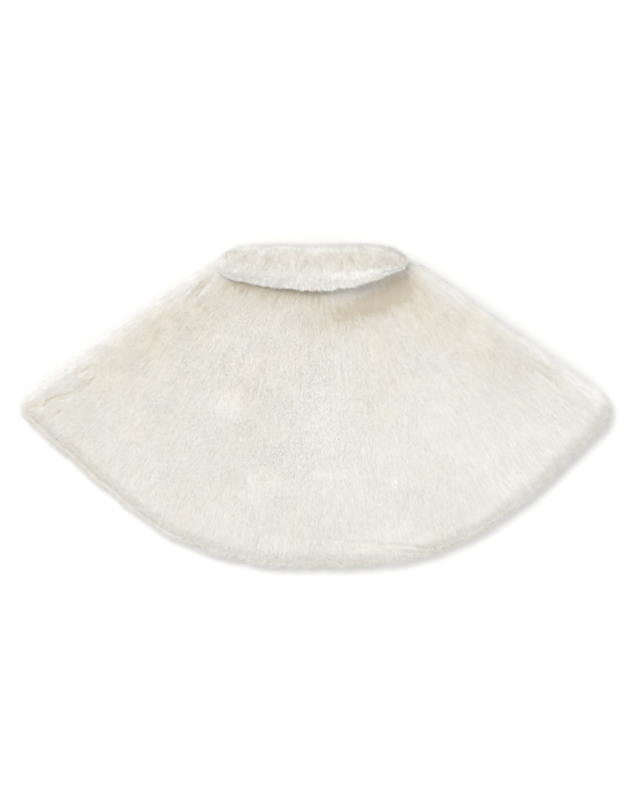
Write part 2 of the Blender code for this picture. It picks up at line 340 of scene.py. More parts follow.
@dataclass(frozen=True)
class Cut:
    """The sizes that the cape's pieces share, as it lies pressed flat."""

    apex_x: float = APEX[0]
    apex_y: float = APEX[1]
    side_angle: float = math.radians(54.7)
    corner_sweep: float = math.radians(4.0)
    corner_drop: float = 21.0 * MM
    neck_half_width: float = 88.0 * MM
    neck_side_y: float = 146.4 * MM
    front_neck_drop: float = 40.0 * MM
    front_setback: float = 4.0 * MM
    collar_tuck: float = 5.0 * MM
    tuck_full: float = 17.0 * MM
    tuck_end: float = 38.0 * MM
    loose_full: float = 4.0 * MM
    loose_end: float = 20.0 * MM
    bulge_power: int = 8
    seam_gap: float = 0.3 * MM
    collar_gap: float = 0.7 * MM
    neck_slit: float = 1.0 * MM
    back_wall: float = 9.0 * MM
    front_wall: float = 7.5 * MM
    leaf_wall: float = 5.0 * MM
    rim_share: float = 0.16
    back_round: float = 12.0 * MM
    front_round: float = 7.0 * MM
    opening_round: float = 4.0 * MM
    meet_neck_y: float = 58.0 * MM
    meet_hem_y: float = -32.0 * MM
    shift: tuple[float, float] = (0.0, 0.0)

    def loose(self) -> Cut:
        """The same cut, with its folds let out sooner beside the collar, as the fur lies."""
        return replace(self, tuck_full=self.loose_full, tuck_end=self.loose_end)

    def down(self, share: Array | float) -> Array:
        """Unit vectors in plan from neck to hem, share of the way from centre to fold."""
        angle = np.asarray(share) * self.side_angle
        return np.stack([np.sin(angle), -np.cos(angle)], axis=-1)

    def outwards(self, sign: int) -> Array:
        """Unit vector in plan square to a shoulder fold, pointing off the cape."""
        return np.array([sign * math.cos(self.side_angle), math.sin(self.side_angle)])

    def meeting_height(self, y: Array) -> Array:
        """Works out the height at which the back lies on the fronts.

        Args:
            y: Places along Y in the cut's own frame.

        Returns:
            The height at each place.
        """
        neck = self.front_wall + self.collar_gap + self.leaf_wall
        rise = smooth((y - self.meet_hem_y) / (self.meet_neck_y - self.meet_hem_y))
        return self.front_wall + (neck - self.front_wall) * rise

    def meeting_at(self, points: Array) -> Array:
        """Height at which the back lies on the fronts, at points in the frame of the solids."""
        return self.meeting_height(points[..., 1] - self.shift[1])

    def fold_start(self, sign: int) -> Array:
        """The neck end of a shoulder fold, before the collar presses it in."""
        return np.array([self.apex_x + sign * self.neck_half_width, self.neck_side_y])

    def tuck(self, points: Array, sign: int) -> Array:
        """Works out how far a fold is pressed in beside points.

        Args:
            points: Points in plan.
            sign: The fold's side.

        Returns:
            The distance at each point.
        """
        along = (points - self.fold_start(sign)) @ self.down(sign)
        eased = smooth((along - self.tuck_full) / (self.tuck_end - self.tuck_full))
        return self.collar_tuck * (1.0 - eased)

    def fold_distance(self, points: Array) -> Array:
        """Measures in plan from points to the nearer shoulder fold.

        Args:
            points: Points in plan.

        Returns:
            The distance at each point.
        """
        distances = [
            (self.fold_start(sign) - points) @ self.outwards(sign) - self.tuck(points, sign)
            for sign in SIGNS
        ]
        return np.minimum(*distances)

    def neck_axis(self, sign: int) -> Array:
        """The line that a fold's rounding turns about, at the neck seam."""
        inset = self.collar_tuck + self.back_round
        return self.fold_start(sign) - self.outwards(sign) * inset

    def neck_seam(self, place: Array, drop: Array | float) -> Array:
        """Lays out the neck seam.

        Args:
            place: From -1 to 1 between the axes of the two folds.
            drop: How much lower the neck is cut at the centre.

        Returns:
            Points in plan.
        """
        left, right = self.neck_axis(-1), self.neck_axis(1)
        place = np.asarray(place)
        points = (left + right) / 2 + (right - left) / 2 * place[..., None]
        points[..., 1] -= drop * (1.0 - place**2)
        return points

    def neck_edge(self, share: Array, drop: float) -> Array:
        """Lays out a panel's neck edge, which ends on the folds.

        Args:
            share: Across, -1 to 1 from fold to fold.
            drop: How much lower the neck is cut at the centre.

        Returns:
            Points in plan.
        """
        flat = (self.neck_axis(1) - self.neck_axis(-1))[0] / 2
        reach = flat + self.back_round
        place = share * reach / flat
        points = self.neck_seam(np.clip(place, -1, 1), drop)
        for sign in SIGNS:
            past = np.maximum(sign * share * reach - flat, 0.0)
            points = points + self.outwards(sign) * past[..., None]
        return points

    def hem_edge(self, share: Array, setback: Array | float) -> Array:
        """Lays out the hem, with its corners rounded off.

        Args:
            share: Across, -1 to 1 from fold to fold.
            setback: How far it lies inside the back's.

        Returns:
            Points in plan.
        """
        angle = share * self.side_angle
        places = [math.radians(row.angle_deg) for row in HEM]
        radius = through_rows(angle, places, [row.radius_mm * MM for row in HEM])
        turned = (np.abs(angle) - self.side_angle + self.corner_sweep) / self.corner_sweep
        turned = np.clip(turned, 0.0, 1.0)
        radius = radius - self.corner_drop * (1.0 - np.sqrt(1.0 - turned**2)) - setback
        return np.array([self.apex_x, self.apex_y]) + self.down(share) * radius[..., None]

    def panel(self, share: Array, along: Array, drop: float, setback: Array | float) -> Array:
        """Lays out a panel.

        Args:
            share: Across, -1 to 1 from fold to fold.
            along: From the neck at 0 to the hem at 1.
            drop: How much lower the neck is cut at the centre.
            setback: How far the hem lies inside the back's.

        Returns:
            Points in plan.
        """
        neck, hem = self.neck_edge(share, drop), self.hem_edge(share, setback)
        points = neck + (hem - neck) * along[..., None]
        for sign in SIGNS:
            start = self.fold_start(sign)
            straight = start + (hem - start) * along[..., None]
            bulge = self.collar_tuck * (1.0 - along) - self.tuck(straight, sign)
            near = np.clip(sign * share, 0.0, 1.0) ** self.bulge_power
            points = points + self.outwards(sign) * (bulge * near)[..., None]
        return points

    def swell(self, points: Array) -> Array:
        """Adds up the broad swells of the back, none under the collar.

        Args:
            points: Points in plan.

        Returns:
            The height at each point.
        """
        height = np.zeros(points.shape[:-1])
        for row in SWELLS:
            height += row.height(points)
        return height * (1.0 - smooth(points[..., 1] / self.meet_neck_y))

    def placed(self, points: Array) -> Array:
        """Moves points from the cut's own frame to the frame of the solids."""
        return points + np.array([self.shift[0], self.shift[1], 0.0])


@dataclass
class Lattice:
    """Seeded smooth noise in plan, between -1 and 1, from a lattice that repeats."""

    seed: int
    cells: int = 97
    jitter: float = 0.45
    heights: Array = field(init=False)

    def __post_init__(self) -> None:
        """Fills the lattice with random heights."""
        rng = np.random.default_rng(self.seed)
        self.heights = rng.uniform(-1.0, 1.0, (self.cells, self.cells))

    def __call__(self, x: Array, y: Array, size: float) -> Array:
        """Reads the noise.

        Args:
            x: Places along X.
            y: Places along Y.
            size: Size of one cell in metres.

        Returns:
            The noise at each place.
        """
        cells = self.cells
        column, row = np.floor(x / size).astype(int), np.floor(y / size).astype(int)
        a, b = smooth(x / size - column), smooth(y / size - row)
        near, far = column % cells, (column + 1) % cells
        low, high = row % cells, (row + 1) % cells
        first = self.heights[near, low] * (1 - a) + self.heights[far, low] * a
        second = self.heights[near, high] * (1 - a) + self.heights[far, high] * a
        return first * (1 - b) + second * b

    def nearest(
        self, x: Array, y: Array, size: float, nap: Array, stretch: float
    ) -> tuple[Array, Array, Array]:
        """Finds the nearest of a scatter of points, one to each cell, in two cells all round.

        Each cell's point and its numbers are heights of the lattice, read some cells away.

        Args:
            x: Places along X.
            y: Places along Y.
            size: Size of one cell in metres.
            nap: Directions in plan along which distances count for less.
            stretch: How many times less.

        Returns:
            The vectors in plan from it, and two random numbers from -1 to 1 that are its own.
        """
        cells = self.cells
        best = np.zeros((*x.shape, 2))
        least = np.full(x.shape, np.inf)
        first, second = np.zeros_like(x), np.zeros_like(x)
        home, floor = np.floor(x / size).astype(int), np.floor(y / size).astype(int)
        for down, right in np.ndindex(5, 5):
            column, row = home + right - 2, floor + down - 2
            aside = self.heights[column % cells, row % cells]
            ahead = self.heights[(row + 31) % cells, (column + 17) % cells]
            across = x - (column + 0.5 + self.jitter * aside) * size
            over = y - (row + 0.5 + self.jitter * ahead) * size
            along = across * nap[:, 0] + over * nap[:, 1]
            distance = across**2 + over**2 - along**2 * (1.0 - 1.0 / stretch**2)
            closer = distance < least
            best[closer, 0] = across[closer]
            best[closer, 1] = over[closer]
            first[closer] = self.heights[(column + 41) % cells, (row + 7) % cells][closer]
            second[closer] = self.heights[(row + 61) % cells, (column + 5) % cells][closer]
            least = np.minimum(least, distance)
        return best, first, second


def layered(
    seed: int, rises: Sequence[float], sizes_mm: Sequence[float], x: Array, y: Array
) -> Array:
    """Adds up layers of smooth noise.

    Args:
        seed: The first layer's seed. Each layer after it has the next one.
        rises: How far each layer rises and sinks.
        sizes_mm: The size of each layer's cells.
        x: Places along X.
        y: Places along Y.

    Returns:
        The sum at each place.
    """
    total = np.zeros_like(x)
    for number, (rise, size) in enumerate(zip(rises, sizes_mm)):
        total += rise * NOISE_GAIN * Lattice(seed + number)(x, y, size * MM)
    return total


@dataclass
class Ground:
    """An outer side as a fine even grid, along whose lines the nap runs from first to last."""

    points: Array
    facing: int = 1
    # painted light: up to 1 where a painted highlight pales the pile, below 0 where painted shade
    # warms it
    painted_light: Array | None = None
    least_stride: float = 0.2 * MM
    across: Array = field(init=False)
    nap: Array = field(init=False)
    normals: Array = field(init=False)
    stride: Array = field(init=False)
    to_end: Array = field(init=False)

    def __post_init__(self) -> None:
        """Works out the directions, the size of one step and the way left to the last line."""
        steps = [np.gradient(self.points, axis=axis) for axis in (0, 1)]
        self.across, self.nap = unit(steps[0]), unit(steps[1])
        self.normals = unit(np.cross(self.nap, self.across)) * self.facing
        self.stride = np.stack([np.linalg.norm(step, axis=-1) for step in steps], axis=-1)
        along = self.stride[:, ::-1, 1:]
        self.to_end = np.cumsum(along, axis=1)[:, ::-1] - along[:, ::-1]

    def read(self, grid: Array, at: Array) -> Array:
        """Reads one of the grids between its points, held inside its ends.

        Args:
            grid: The grid, lines by points by values.
            at: Where to read it, in steps.

        Returns:
            The values at each place.
        """
        last = np.array(grid.shape[:2]) - 1
        at = np.clip(at, 0, last - HAIR)
        i, j = at.astype(int).T
        a, b = (at - at.astype(int)).T[..., None]
        near = grid[i, j] * (1 - a) + grid[i + 1, j] * a
        far = grid[i, j + 1] * (1 - a) + grid[i + 1, j + 1] * a
        return near * (1 - b) + far * b

    def walk(self, at: Array, across: Array, along: Array) -> tuple[Array, Array]:
        """Goes some way over the ground, and straight on past its ends.

        Args:
            at: Where to start, in steps of the grid.
            across: How far to go across the nap, in metres.
            along: How far to go with the nap, in metres.

        Returns:
            The points that it comes to and the normals there.
        """
        stride = np.maximum(self.read(self.stride, at), self.least_stride)
        goal = at + np.stack([across, along], axis=-1) / stride
        held = np.clip(goal, 0, np.array(self.points.shape[:2]) - 1)
        past = (goal - held) * self.read(self.stride, held)
        points = self.read(self.points, held)
        points += self.read(self.across, held) * past[:, :1] + self.read(self.nap, held) * past[:, 1:]
        return points, unit(self.read(self.normals, held))

    def scatter(self, count: int, rng: np.random.Generator, share: Array) -> Array:
        """Spreads roots over the area.

        Args:
            count: How many roots.
            rng: The source of chance.
            share: How thickly each grid point is set.

        Returns:
            Where they are, in steps of the grid.
        """
        weight = self.stride.prod(axis=-1)[:-1, :-1] * share[:-1, :-1]
        steps = np.cumsum(weight.ravel())
        even = (np.arange(count) + rng.random(count)) / count * steps[-1]
        cell = np.minimum(np.searchsorted(steps, even), weight.size - 1)
        return np.stack(np.divmod(cell, weight.shape[1]), axis=-1) + rng.random((count, 2))


@dataclass(frozen=True)
class Comb:
    """How the nap was combed: its waves, and the marks that hands left in it."""

    wave_deg: tuple[float, ...] = (9.0, 7.0, 5.0)
    wave_mm: tuple[float, ...] = (46.0, 17.0, 6.0)
    lump: tuple[float, ...] = (0.18 * MM, 0.08 * MM)
    lump_mm: tuple[float, ...] = (21.0, 8.0)
    # painted shading of the lumps: warmer in hollows, paler on swells
    lump_painted_shading: float = 0.05
    groove: float = 1.8 * MM
    # painted shading of the partings: warmer in the core, paler on the ridge
    parting_painted_shading: float = 0.55
    turn_share: float = 0.3
    core_share: float = 0.35
    ridge_share: float = 0.5
    ridge_gain: float = 2.0
    marks: tuple[MarkRow, ...] = ()
    seed: int = SEED

    def turn(self, x: Array, y: Array) -> Array:
        """Works out how far the nap turns away from the cut's own line.

        Args:
            x: Places along X.
            y: Places along Y.

        Returns:
            Angles in radians.
        """
        waves = [math.radians(degrees) for degrees in self.wave_deg]
        angle = layered(self.seed, waves, self.wave_mm, x, y)
        for row in self.marks:
            away, fade = beside(row, x, y)
            if row.kind is Mark.PARTING:
                fade = fade * np.tanh(away / (self.turn_share * row.width_mm * MM))
            angle += row.strength * fade
        return angle

    def lumps(self, x: Array, y: Array) -> Array:
        """How far the pile swells or sinks, in metres."""
        return layered(self.seed + LUMP_SEEDS, self.lump, self.lump_mm, x, y)

    def height(self, x: Array, y: Array) -> Array:
        """Works out how far the tips stand above or below the outer side.

        Args:
            x: Places along X.
            y: Places along Y.

        Returns:
            The height at each place.
        """
        height = self.lumps(x, y)
        for row in self.marks:
            away, fade = beside(row, x, y)
            if row.kind is Mark.PARTING:
                fade = fade * bell(away, self.core_share * row.width_mm * MM)
            height -= self.groove * abs(row.strength) * fade
        return height

    def painted_shading(self, x: Array, y: Array) -> Array:
        """Works out the painted shading: the pile warmer and darker in hollows and partings' cores,
        as painted shade, and paler on a parting's ridge, as a painted highlight.

        Args:
            x: Places along X.
            y: Places along Y.

        Returns:
            The warmth at each place, less than 0 where it is paler.
        """
        # painted shade in hollows, painted highlight on swells
        warm = -self.lump_painted_shading * self.lumps(x, y) / self.lump[0]
        for row in self.marks:
            if row.kind is Mark.PARTING:
                away, fade = beside(row, x, y)
                width = row.width_mm * MM
                # painted shade in the parting's core, painted highlight on the ridge beside it
                core = bell(away, self.core_share * width)
                ridge = bell(away + width, self.ridge_share * width)
                warm += self.parting_painted_shading * row.strength * fade * (core - self.ridge_gain * ridge)
        return warm


@dataclass(frozen=True)
class Tone:
    """How warm the pile is, from 0 at the palest to 1, by place with painted light and shade, by tuft
    and by lock.
    """

    plain: float = 0.3
    # neck paints shade: the pile darker and warmer towards the neck; to_right paints light: the pile
    # paler towards the right
    neck: float = 0.17
    neck_start: float = -40.0 * MM
    neck_end: float = 130.0 * MM
    # painted shade in ovals, by their warmth
    painted_shades: tuple[OvalRow, ...] = ()
    # how strongly the ground's painted light pales or warms the pile
    painted_light: float = 0.55
    to_right: float = -0.12
    half_width: float = 280.0 * MM
    patch: tuple[float, ...] = (0.05, 0.02)
    patch_mm: tuple[float, ...] = (60.0, 22.0)
    streak: float = 0.0
    streak_mm: tuple[float, float] = (1.3, 9.0)
    streak_rings_mm: tuple[float, ...] = (90.0, 180.0, 360.0)
    fan: tuple[float, float] = APEX
    tuft: float = 0.08
    lock: float = 0.09
    seed: int = SEED + 80

    def streaks(self, x: Array, y: Array) -> Array:
        """Reads fine streaks along the nap, which fans out from the apex.

        Args:
            x: Places along X.
            y: Places along Y.

        Returns:
            The streaks at each place, between -1 and 1.
        """
        across, along = self.streak_mm
        x, y = x - self.fan[0], y - self.fan[1]
        radius, angle = np.hypot(x, y), np.arctan2(x, -y)
        total = np.zeros_like(x)
        for number, ring in enumerate(self.streak_rings_mm):
            weight = np.clip(1.0 - np.abs(np.log2(radius / (ring * MM))), 0.0, 1.0)
            noise = Lattice(self.seed + STREAK_SEEDS + number)
            total += weight * noise(angle * ring * MM * along / across, radius, along * MM)
        return total

    def warmth(
        self, x: Array, y: Array, painted_light: Array, tuft: Array, rng: np.random.Generator
    ) -> Array:
        """Reads how warm each lock is.

        Args:
            x: Places along X.
            y: Places along Y.
            painted_light: The painted light at each place: up to 1 where a painted highlight pales
                it, less than 0 where painted shade warms it.
            tuft: A random number from -1 to 1 that the locks of a tuft share.
            rng: The source of chance.

        Returns:
            About 0 to 1 for each lock.
        """
        warm = self.plain + self.to_right * x / self.half_width
        warm = warm + self.neck * smooth((y - self.neck_start) / (self.neck_end - self.neck_start))
        warm = warm - self.painted_light * painted_light + self.streak * self.streaks(x, y)
        for row in self.painted_shades:
            warm = warm + row.rise * row.share(x, y)
        warm = warm + layered(self.seed, self.patch, self.patch_mm, x, y)
        return warm + self.tuft * tuft + self.lock * rng.standard_normal(len(x))


class Locks(NamedTuple):
    """Locks of pile as arrays. chart holds each point's warmth and its share from root to tip."""

    points: Array
    faces: Array
    normals: Array
    chart: Array


@dataclass(frozen=True)
class Pile:
    """One kind of pile: the sizes of its locks and how they lie.

    A lock is a blade, widest at its foot, or with a waist a slim kite that arches over. Single
    fibres are too fine to show, so each lock is as wide as it needs to be to show, and stands
    for many of them.
    """

    run: float = 9.0 * MM
    width: float = 0.75 * MM
    depth: float = 3.4 * MM
    proud: float = 0.1 * MM
    arch: float = 0.0
    waist: float = 0.0
    uneven: float = 0.2
    run_limits: tuple[float, float] = (0.4, 1.7)
    width_uneven: float = 0.25
    width_limits: tuple[float, float] = (0.5, 1.6)
    proud_spread: float = 0.3 * MM
    stray_deg: float = 4.0
    roll_deg: float = 6.0
    tuft_mm: float = 1.5
    tuft_stretch: float = 2.5
    tuft_pull: float = 0.5
    nap_pull: float = 0.3
    tuft_proud: float = 0.25 * MM
    tuft_turn_deg: float = 9.0
    # painted shade in the gaps between tufts: locks warmer the farther they lie from their tuft's
    # middle
    painted_gap_shade: float = 0.08
    rim_sink: float = 3.5 * MM
    flare: float = 0.0
    tail: float = 2.5 * MM
    tail_spread: tuple[float, float] = (0.4, 1.6)
    clump: float = 0.6
    clump_mm: float = 5.0
    foot: float = 0.22
    face_up: float = 0.4
    even_shade: float = 0.6
    sky_shade: float = 0.8
    round_shade: float = 0.2
    # root_tone and tip_tone set where a lock's root and tip lie between the root colour, painted
    # shade, and the tip colour
    root_tone: float = 0.0
    tip_tone: float = 0.85
    flank_tone: float = 0.01
    tone_margin: float = 0.02
    floor: float = 0.3 * MM
    floor_spread: tuple[float, float] = (0.5, 3.0)

    def chart(self, warm: Array, level: Sequence[float]) -> Array:
        """Places the locks' points on the map that the finish reads.

        Args:
            warm: How warm each lock is.
            level: Each point's share from root to tip, the same for every lock.

        Returns:
            Places on the map, locks by points.
        """
        warm = np.clip(warm, 0.0, 1.0) * (1.0 - 2.0 * self.tone_margin) + self.tone_margin
        flanks = self.flank_tone * np.array([1.0, 0.0, -1.0, 0.0])[: len(level)]
        light = self.root_tone + (self.tip_tone - self.root_tone) * np.array(level)
        return np.stack(np.broadcast_arrays(warm[:, None] + flanks, light), axis=-1)

    def locks(
        self, ground: Ground, at: Array, comb: Comb, tone: Tone, rng: np.random.Generator
    ) -> Locks:
        """Grows a lock on each root, lying along the ground.

        Args:
            ground: The outer side that they follow.
            at: Where they grow, in steps of the ground's grid.
            comb: How they are combed.
            tone: How warm they are.
            rng: The source of chance.

        Returns:
            The locks.
        """
        count = len(at)
        nowhere = np.zeros(count)
        start, up = ground.walk(at, nowhere, nowhere)
        x, y = start[:, 0], start[:, 1]
        nap, sideways = ground.read(ground.nap, at), ground.read(ground.across, at)
        away, first, second = Lattice(comb.seed + TUFT_SEED).nearest(
            x, y, self.tuft_mm * MM, nap[:, :2], self.tuft_stretch
        )
        turn = comb.turn(x, y) + np.radians(self.stray_deg) * rng.standard_normal(count)
        turn = turn + np.radians(self.tuft_turn_deg) * first
        run = self.run * np.clip(1.0 + self.uneven * rng.standard_normal(count), *self.run_limits)
        left = ground.read(ground.to_end, at)[:, 0]
        clump = 1.0 + self.clump * Lattice(comb.seed + CLUMP_SEED)(x, y, self.clump_mm * MM)
        run = np.minimum(run, left + self.tail * clump * rng.uniform(*self.tail_spread, count))
        along, across = run * np.cos(turn), run * np.sin(turn)
        across = across - self.tuft_pull * (away * sideways[:, :2]).sum(axis=1)
        along = along - self.nap_pull * self.tuft_pull * (away * nap[:, :2]).sum(axis=1)
        tip, tip_up = ground.walk(at, across, along)
        proud = self.proud + comb.height(tip[:, 0], tip[:, 1]) + self.tuft_proud * second
        proud = proud + self.proud_spread * rng.standard_normal(count)
        tip = tip + tip_up * (proud + self.flare * (1.0 - np.abs(tip_up[:, 2])))[:, None]
        root = start - up * (self.depth + self.rim_sink * (1.0 - np.abs(up[:, 2])))[:, None]
        line = unit(tip - root)
        roll = np.radians(self.roll_deg) * rng.standard_normal(count)
        outside = up * (1.0 - self.face_up) + UP * self.face_up
        flank = unit(np.cross(line, outside))
        flank = flank * np.cos(roll)[:, None] + np.cross(flank, line) * np.sin(roll)[:, None]
        face = np.cross(flank, line)
        spread = 1.0 + self.width_uneven * rng.standard_normal(count)
        half = self.width / 2 * np.clip(spread, *self.width_limits)
        widest = max(self.waist, self.foot)
        wide = root + (tip - root) * widest + up * self.arch
        edge = flank * half[:, None]
        own = face * (1.0 - self.even_shade) + UP * self.sky_shade
        middle = unit(up * self.even_shade + own)
        ends = unit(tip_up * self.even_shade + own)
        points = [wide + edge, tip, wide - edge]
        normals = [middle + flank * self.round_shade, ends, middle - flank * self.round_shade]
        level = [widest, 1.0, widest]
        corners = [[0, 1, 2]]
        if self.waist:
            points.append(root)
            normals.append(middle)
            level.append(0.0)
            corners.append([0, 2, 3])
        points = np.stack(points, axis=1)
        floor = self.floor * rng.uniform(*self.floor_spread, (count, 1))
        points[..., 2] = np.maximum(points[..., 2], floor)
        faces = np.arange(count)[:, None, None] * len(level) + np.array(corners)
        # the ground's painted light: painted highlights at the rims, painted shade below the collar
        painted_light = nowhere if ground.painted_light is None else ground.read(ground.painted_light, at)[:, 0]
        half_x, half_y = (start[:, :2] + tip[:, :2]).T / 2
        # with the comb's painted shading of hollows and partings
        warm = tone.warmth(half_x, half_y, painted_light, second, rng) + comb.painted_shading(half_x, half_y)
        # painted shade in the gaps between tufts
        warm = warm + self.painted_gap_shade * np.linalg.norm(away, axis=1) / (self.tuft_mm * MM)
        return Locks(
            points.reshape(-1, 3),
            faces.reshape(-1, 3),
            unit(np.stack(normals, axis=1)).reshape(-1, 3),
            self.chart(warm, level).reshape(-1, 2),
        )


def mesh_object(
    name: str,
    points: Array,
    faces: Array,
    material: bpy.types.Material,
    normals: Array | None = None,
    chart: Array | None = None,
) -> bpy.types.Object:
    """Makes and logs a smooth mesh object from arrays, with a map for its finish.

    Args:
        name: The piece's name.
        points: Its points.
        faces: Its triangles or quads, as numbers of points.
        material: Its finish.
        normals: The points' normals, worked out from the faces if left out.
        chart: The points' places on the map, its plan if left out.

    Returns:
        The object, linked to the scene.
    """
    mesh = bpy.data.meshes.new(name)
    sides = faces.shape[1]
    mesh.vertices.add(len(points))
    mesh.vertices.foreach_set("co", np.ascontiguousarray(points, np.float32).ravel())
    mesh.loops.add(faces.size)
    mesh.loops.foreach_set("vertex_index", np.ascontiguousarray(faces, np.int32).ravel())
    mesh.polygons.add(len(faces))
    mesh.polygons.foreach_set("loop_start", np.arange(0, faces.size, sides, dtype=np.int32))
    mesh.update(calc_edges=True)
    mesh.shade_smooth()
    if normals is not None:
        mesh.normals_split_custom_set_from_vertices(normals)
    if chart is None:
        low = points[:, :2].min(axis=0)
        span = float((points[:, :2].max(axis=0) - low).max())
        chart = (points[:, :2] - low) / span
    placed = (chart * (1.0 - 2.0 * MAP_MARGIN) + MAP_MARGIN)[faces.ravel()]
    layer = mesh.uv_layers.new(name=MAP)
    layer.uv.foreach_set("vector", np.ascontiguousarray(placed, np.float32).ravel())
    mesh.materials.append(material)
    piece = bpy.data.objects.new(name, mesh)
    bpy.context.scene.collection.objects.link(piece)
    log.info("%s: %d points, %d faces", name, len(points), len(faces))
    return piece


def shell(top: Array, bottom: Array) -> tuple[Array, Array]:
    """Closes two grids that lie over each other into one thin wall.

    Args:
        top: Points of the upper side, lines by points.
        bottom: Points of the lower side.

    Returns:
        The points and the quads, facing out.
    """
    lines, count = top.shape[:2]
    points = np.concatenate([top.reshape(-1, 3), bottom.reshape(-1, 3)])
    number = np.arange(lines * count).reshape(lines, count)
    corners = [number[:-1, :-1], number[:-1, 1:], number[1:, 1:], number[1:, :-1]]
    upper = np.stack(corners, axis=-1).reshape(-1, 4)
    lower = upper[:, ::-1] + lines * count
    rim = np.concatenate([number[:, 0], number[-1, 1:], number[-2::-1, -1], number[0, -2:0:-1]])
    after = np.roll(rim, -1)
    wall = np.stack([rim, after, after + lines * count, rim + lines * count], axis=-1)
    return points, np.concatenate([upper, lower, wall])


def add_node(
    tree: bpy.types.NodeTree,
    kind: str,
    settings: dict[str | int, Any],
    links: dict[str | int, Any],
) -> bpy.types.Node:
    """Adds a node with its settings and links.

    Args:
        tree: The node tree.
        kind: The node's type.
        settings: Attributes by name, and values of inputs by name or number.
        links: Output sockets by the name or number of the input that they feed.

    Returns:
        The node.
    """
    node = tree.nodes.new(kind)
    for name, value in settings.items():
        if isinstance(name, int) or name in node.inputs:
            node.inputs[name].default_value = value
        else:
            setattr(node, name, value)
    for name, socket in links.items():
        tree.links.new(socket, node.inputs[name])
    return node


def new_material(name: str, colour: str, values: dict[str, float]) -> bpy.types.Material:
    """Starts a material of one colour.

    Args:
        name: The material's name.
        colour: Its main colour, as sRGB hex.
        values: What is alike all over, by the name of the shader's socket.

    Returns:
        The material, with a Principled shader.
    """
    material = bpy.data.materials.new(name)
    material.use_nodes = True
    material.diffuse_color = linear(colour)
    shader = material.node_tree.nodes["Principled BSDF"]
    shader.inputs["Base Color"].default_value = linear(colour)
    for socket, value in values.items():
        shader.inputs[socket].default_value = value
    return material


@dataclass(frozen=True)
class PileFinish:
    """Modacrylic plush: sheared knitted pile, combed. Matt, pale and warm, with a painted highlight.

    The fibres scatter light many times, and the colours paint that in: the root colour, deeper
    and warmer, is painted shade in the depth of the pile, and the palest stop a painted highlight.
    A faint sheen shows where it is seen along the surface. The map gives each lock's warmth across
    and its share from root to tip upwards.
    """

    name: str = "modacrylic_plush"
    painted_highlight: str = "f8f7f5"
    pale: str = "ebeae6"
    cream: str = "e5e2da"
    warm: str = "dcd6ca"
    deep: str = "cabfaa"
    # painted shade in the depth of the pile, towards which each lock's root turns
    root: str = "cdc1aa"
    stops: tuple[float, ...] = (0.12, 0.45, 0.8)
    root_end: float = 0.1
    tip_start: float = 0.9
    tip_roughness: float = 0.66
    root_roughness: float = 0.85
    refraction: float = 1.49
    gloss: float = 0.25
    sheen: float = 0.2
    sheen_roughness: float = 0.5

    def material(self) -> bpy.types.Material:
        """Builds the material: warmth across the map, and from the root's colour to the tip's.

        Returns:
            The material.
        """
        values = {
            "IOR": self.refraction,
            "Specular IOR Level": self.gloss,
            "Sheen Weight": self.sheen,
            "Sheen Roughness": self.sheen_roughness,
        }
        material = new_material(self.name, self.cream, values)
        tree = material.node_tree
        shader = tree.nodes["Principled BSDF"]
        chart = add_node(tree, "ShaderNodeUVMap", {"uv_map": MAP}, {})
        parts = add_node(tree, "ShaderNodeSeparateXYZ", {}, {"Vector": chart.outputs["UV"]})
        ramp = add_node(tree, "ShaderNodeValToRGB", {}, {"Fac": parts.outputs["X"]})
        for place in self.stops:
            ramp.color_ramp.elements.new(place)
        colours = (self.painted_highlight, self.pale, self.cream, self.warm, self.deep)
        for stop, colour in zip(ramp.color_ramp.elements, colours):
            stop.color = linear(colour)
        tip_share = add_node(
            tree,
            "ShaderNodeMapRange",
            {
                "interpolation_type": "SMOOTHSTEP",
                "From Min": self.root_end,
                "From Max": self.tip_start,
            },
            {"Value": parts.outputs["Y"]},
        )
        coat = add_node(
            tree,
            "ShaderNodeMix",
            {"data_type": "RGBA", 6: linear(self.root)},
            {0: tip_share.outputs["Result"], 7: ramp.outputs["Color"]},
        )
        rough = add_node(
            tree,
            "ShaderNodeMapRange",
            {"To Min": self.root_roughness, "To Max": self.tip_roughness},
            {"Value": tip_share.outputs["Result"]},
        )
        tree.links.new(coat.outputs[2], shader.inputs["Base Color"])
        tree.links.new(rough.outputs["Result"], shader.inputs["Roughness"])
        return material


@dataclass(frozen=True)
class BackingFinish:
    """Knitted backing with the roots of the pile in it: warm, matt and finely pebbled."""

    name: str = "knitted_pile_backing"
    light: str = "ded7ca"
    dark: str = "cec3b0"
    stitch_mm: float = 1.6
    stitch_detail: float = 2.0
    stitch_roughness: float = 0.6
    relief: float = 0.5
    relief_depth: float = 0.4 * MM
    roughness: float = 0.9
    gloss: float = 0.15

    def material(self) -> bpy.types.Material:
        """Builds the material: two tones and a low relief from the same stitches.

        Returns:
            The material.
        """
        values = {"Roughness": self.roughness, "Specular IOR Level": self.gloss}
        material = new_material(self.name, self.light, values)
        tree = material.node_tree
        shader = tree.nodes["Principled BSDF"]
        place = add_node(tree, "ShaderNodeTexCoord", {}, {}).outputs["Object"]
        stitches = add_node(
            tree,
            "ShaderNodeTexNoise",
            {
                "Scale": 1 / (self.stitch_mm * MM),
                "Detail": self.stitch_detail,
                "Roughness": self.stitch_roughness,
            },
            {"Vector": place},
        )
        colour = add_node(
            tree,
            "ShaderNodeMix",
            {"data_type": "RGBA", 6: linear(self.light), 7: linear(self.dark)},
            {0: stitches.outputs["Fac"]},
        )
        pebbles = add_node(
            tree,
            "ShaderNodeBump",
            {"Strength": self.relief, "Distance": self.relief_depth},
            {"Height": stitches.outputs["Fac"]},
        )
        tree.links.new(colour.outputs[2], shader.inputs["Base Color"])
        tree.links.new(pebbles.outputs["Normal"], shader.inputs["Normal"])
        return material


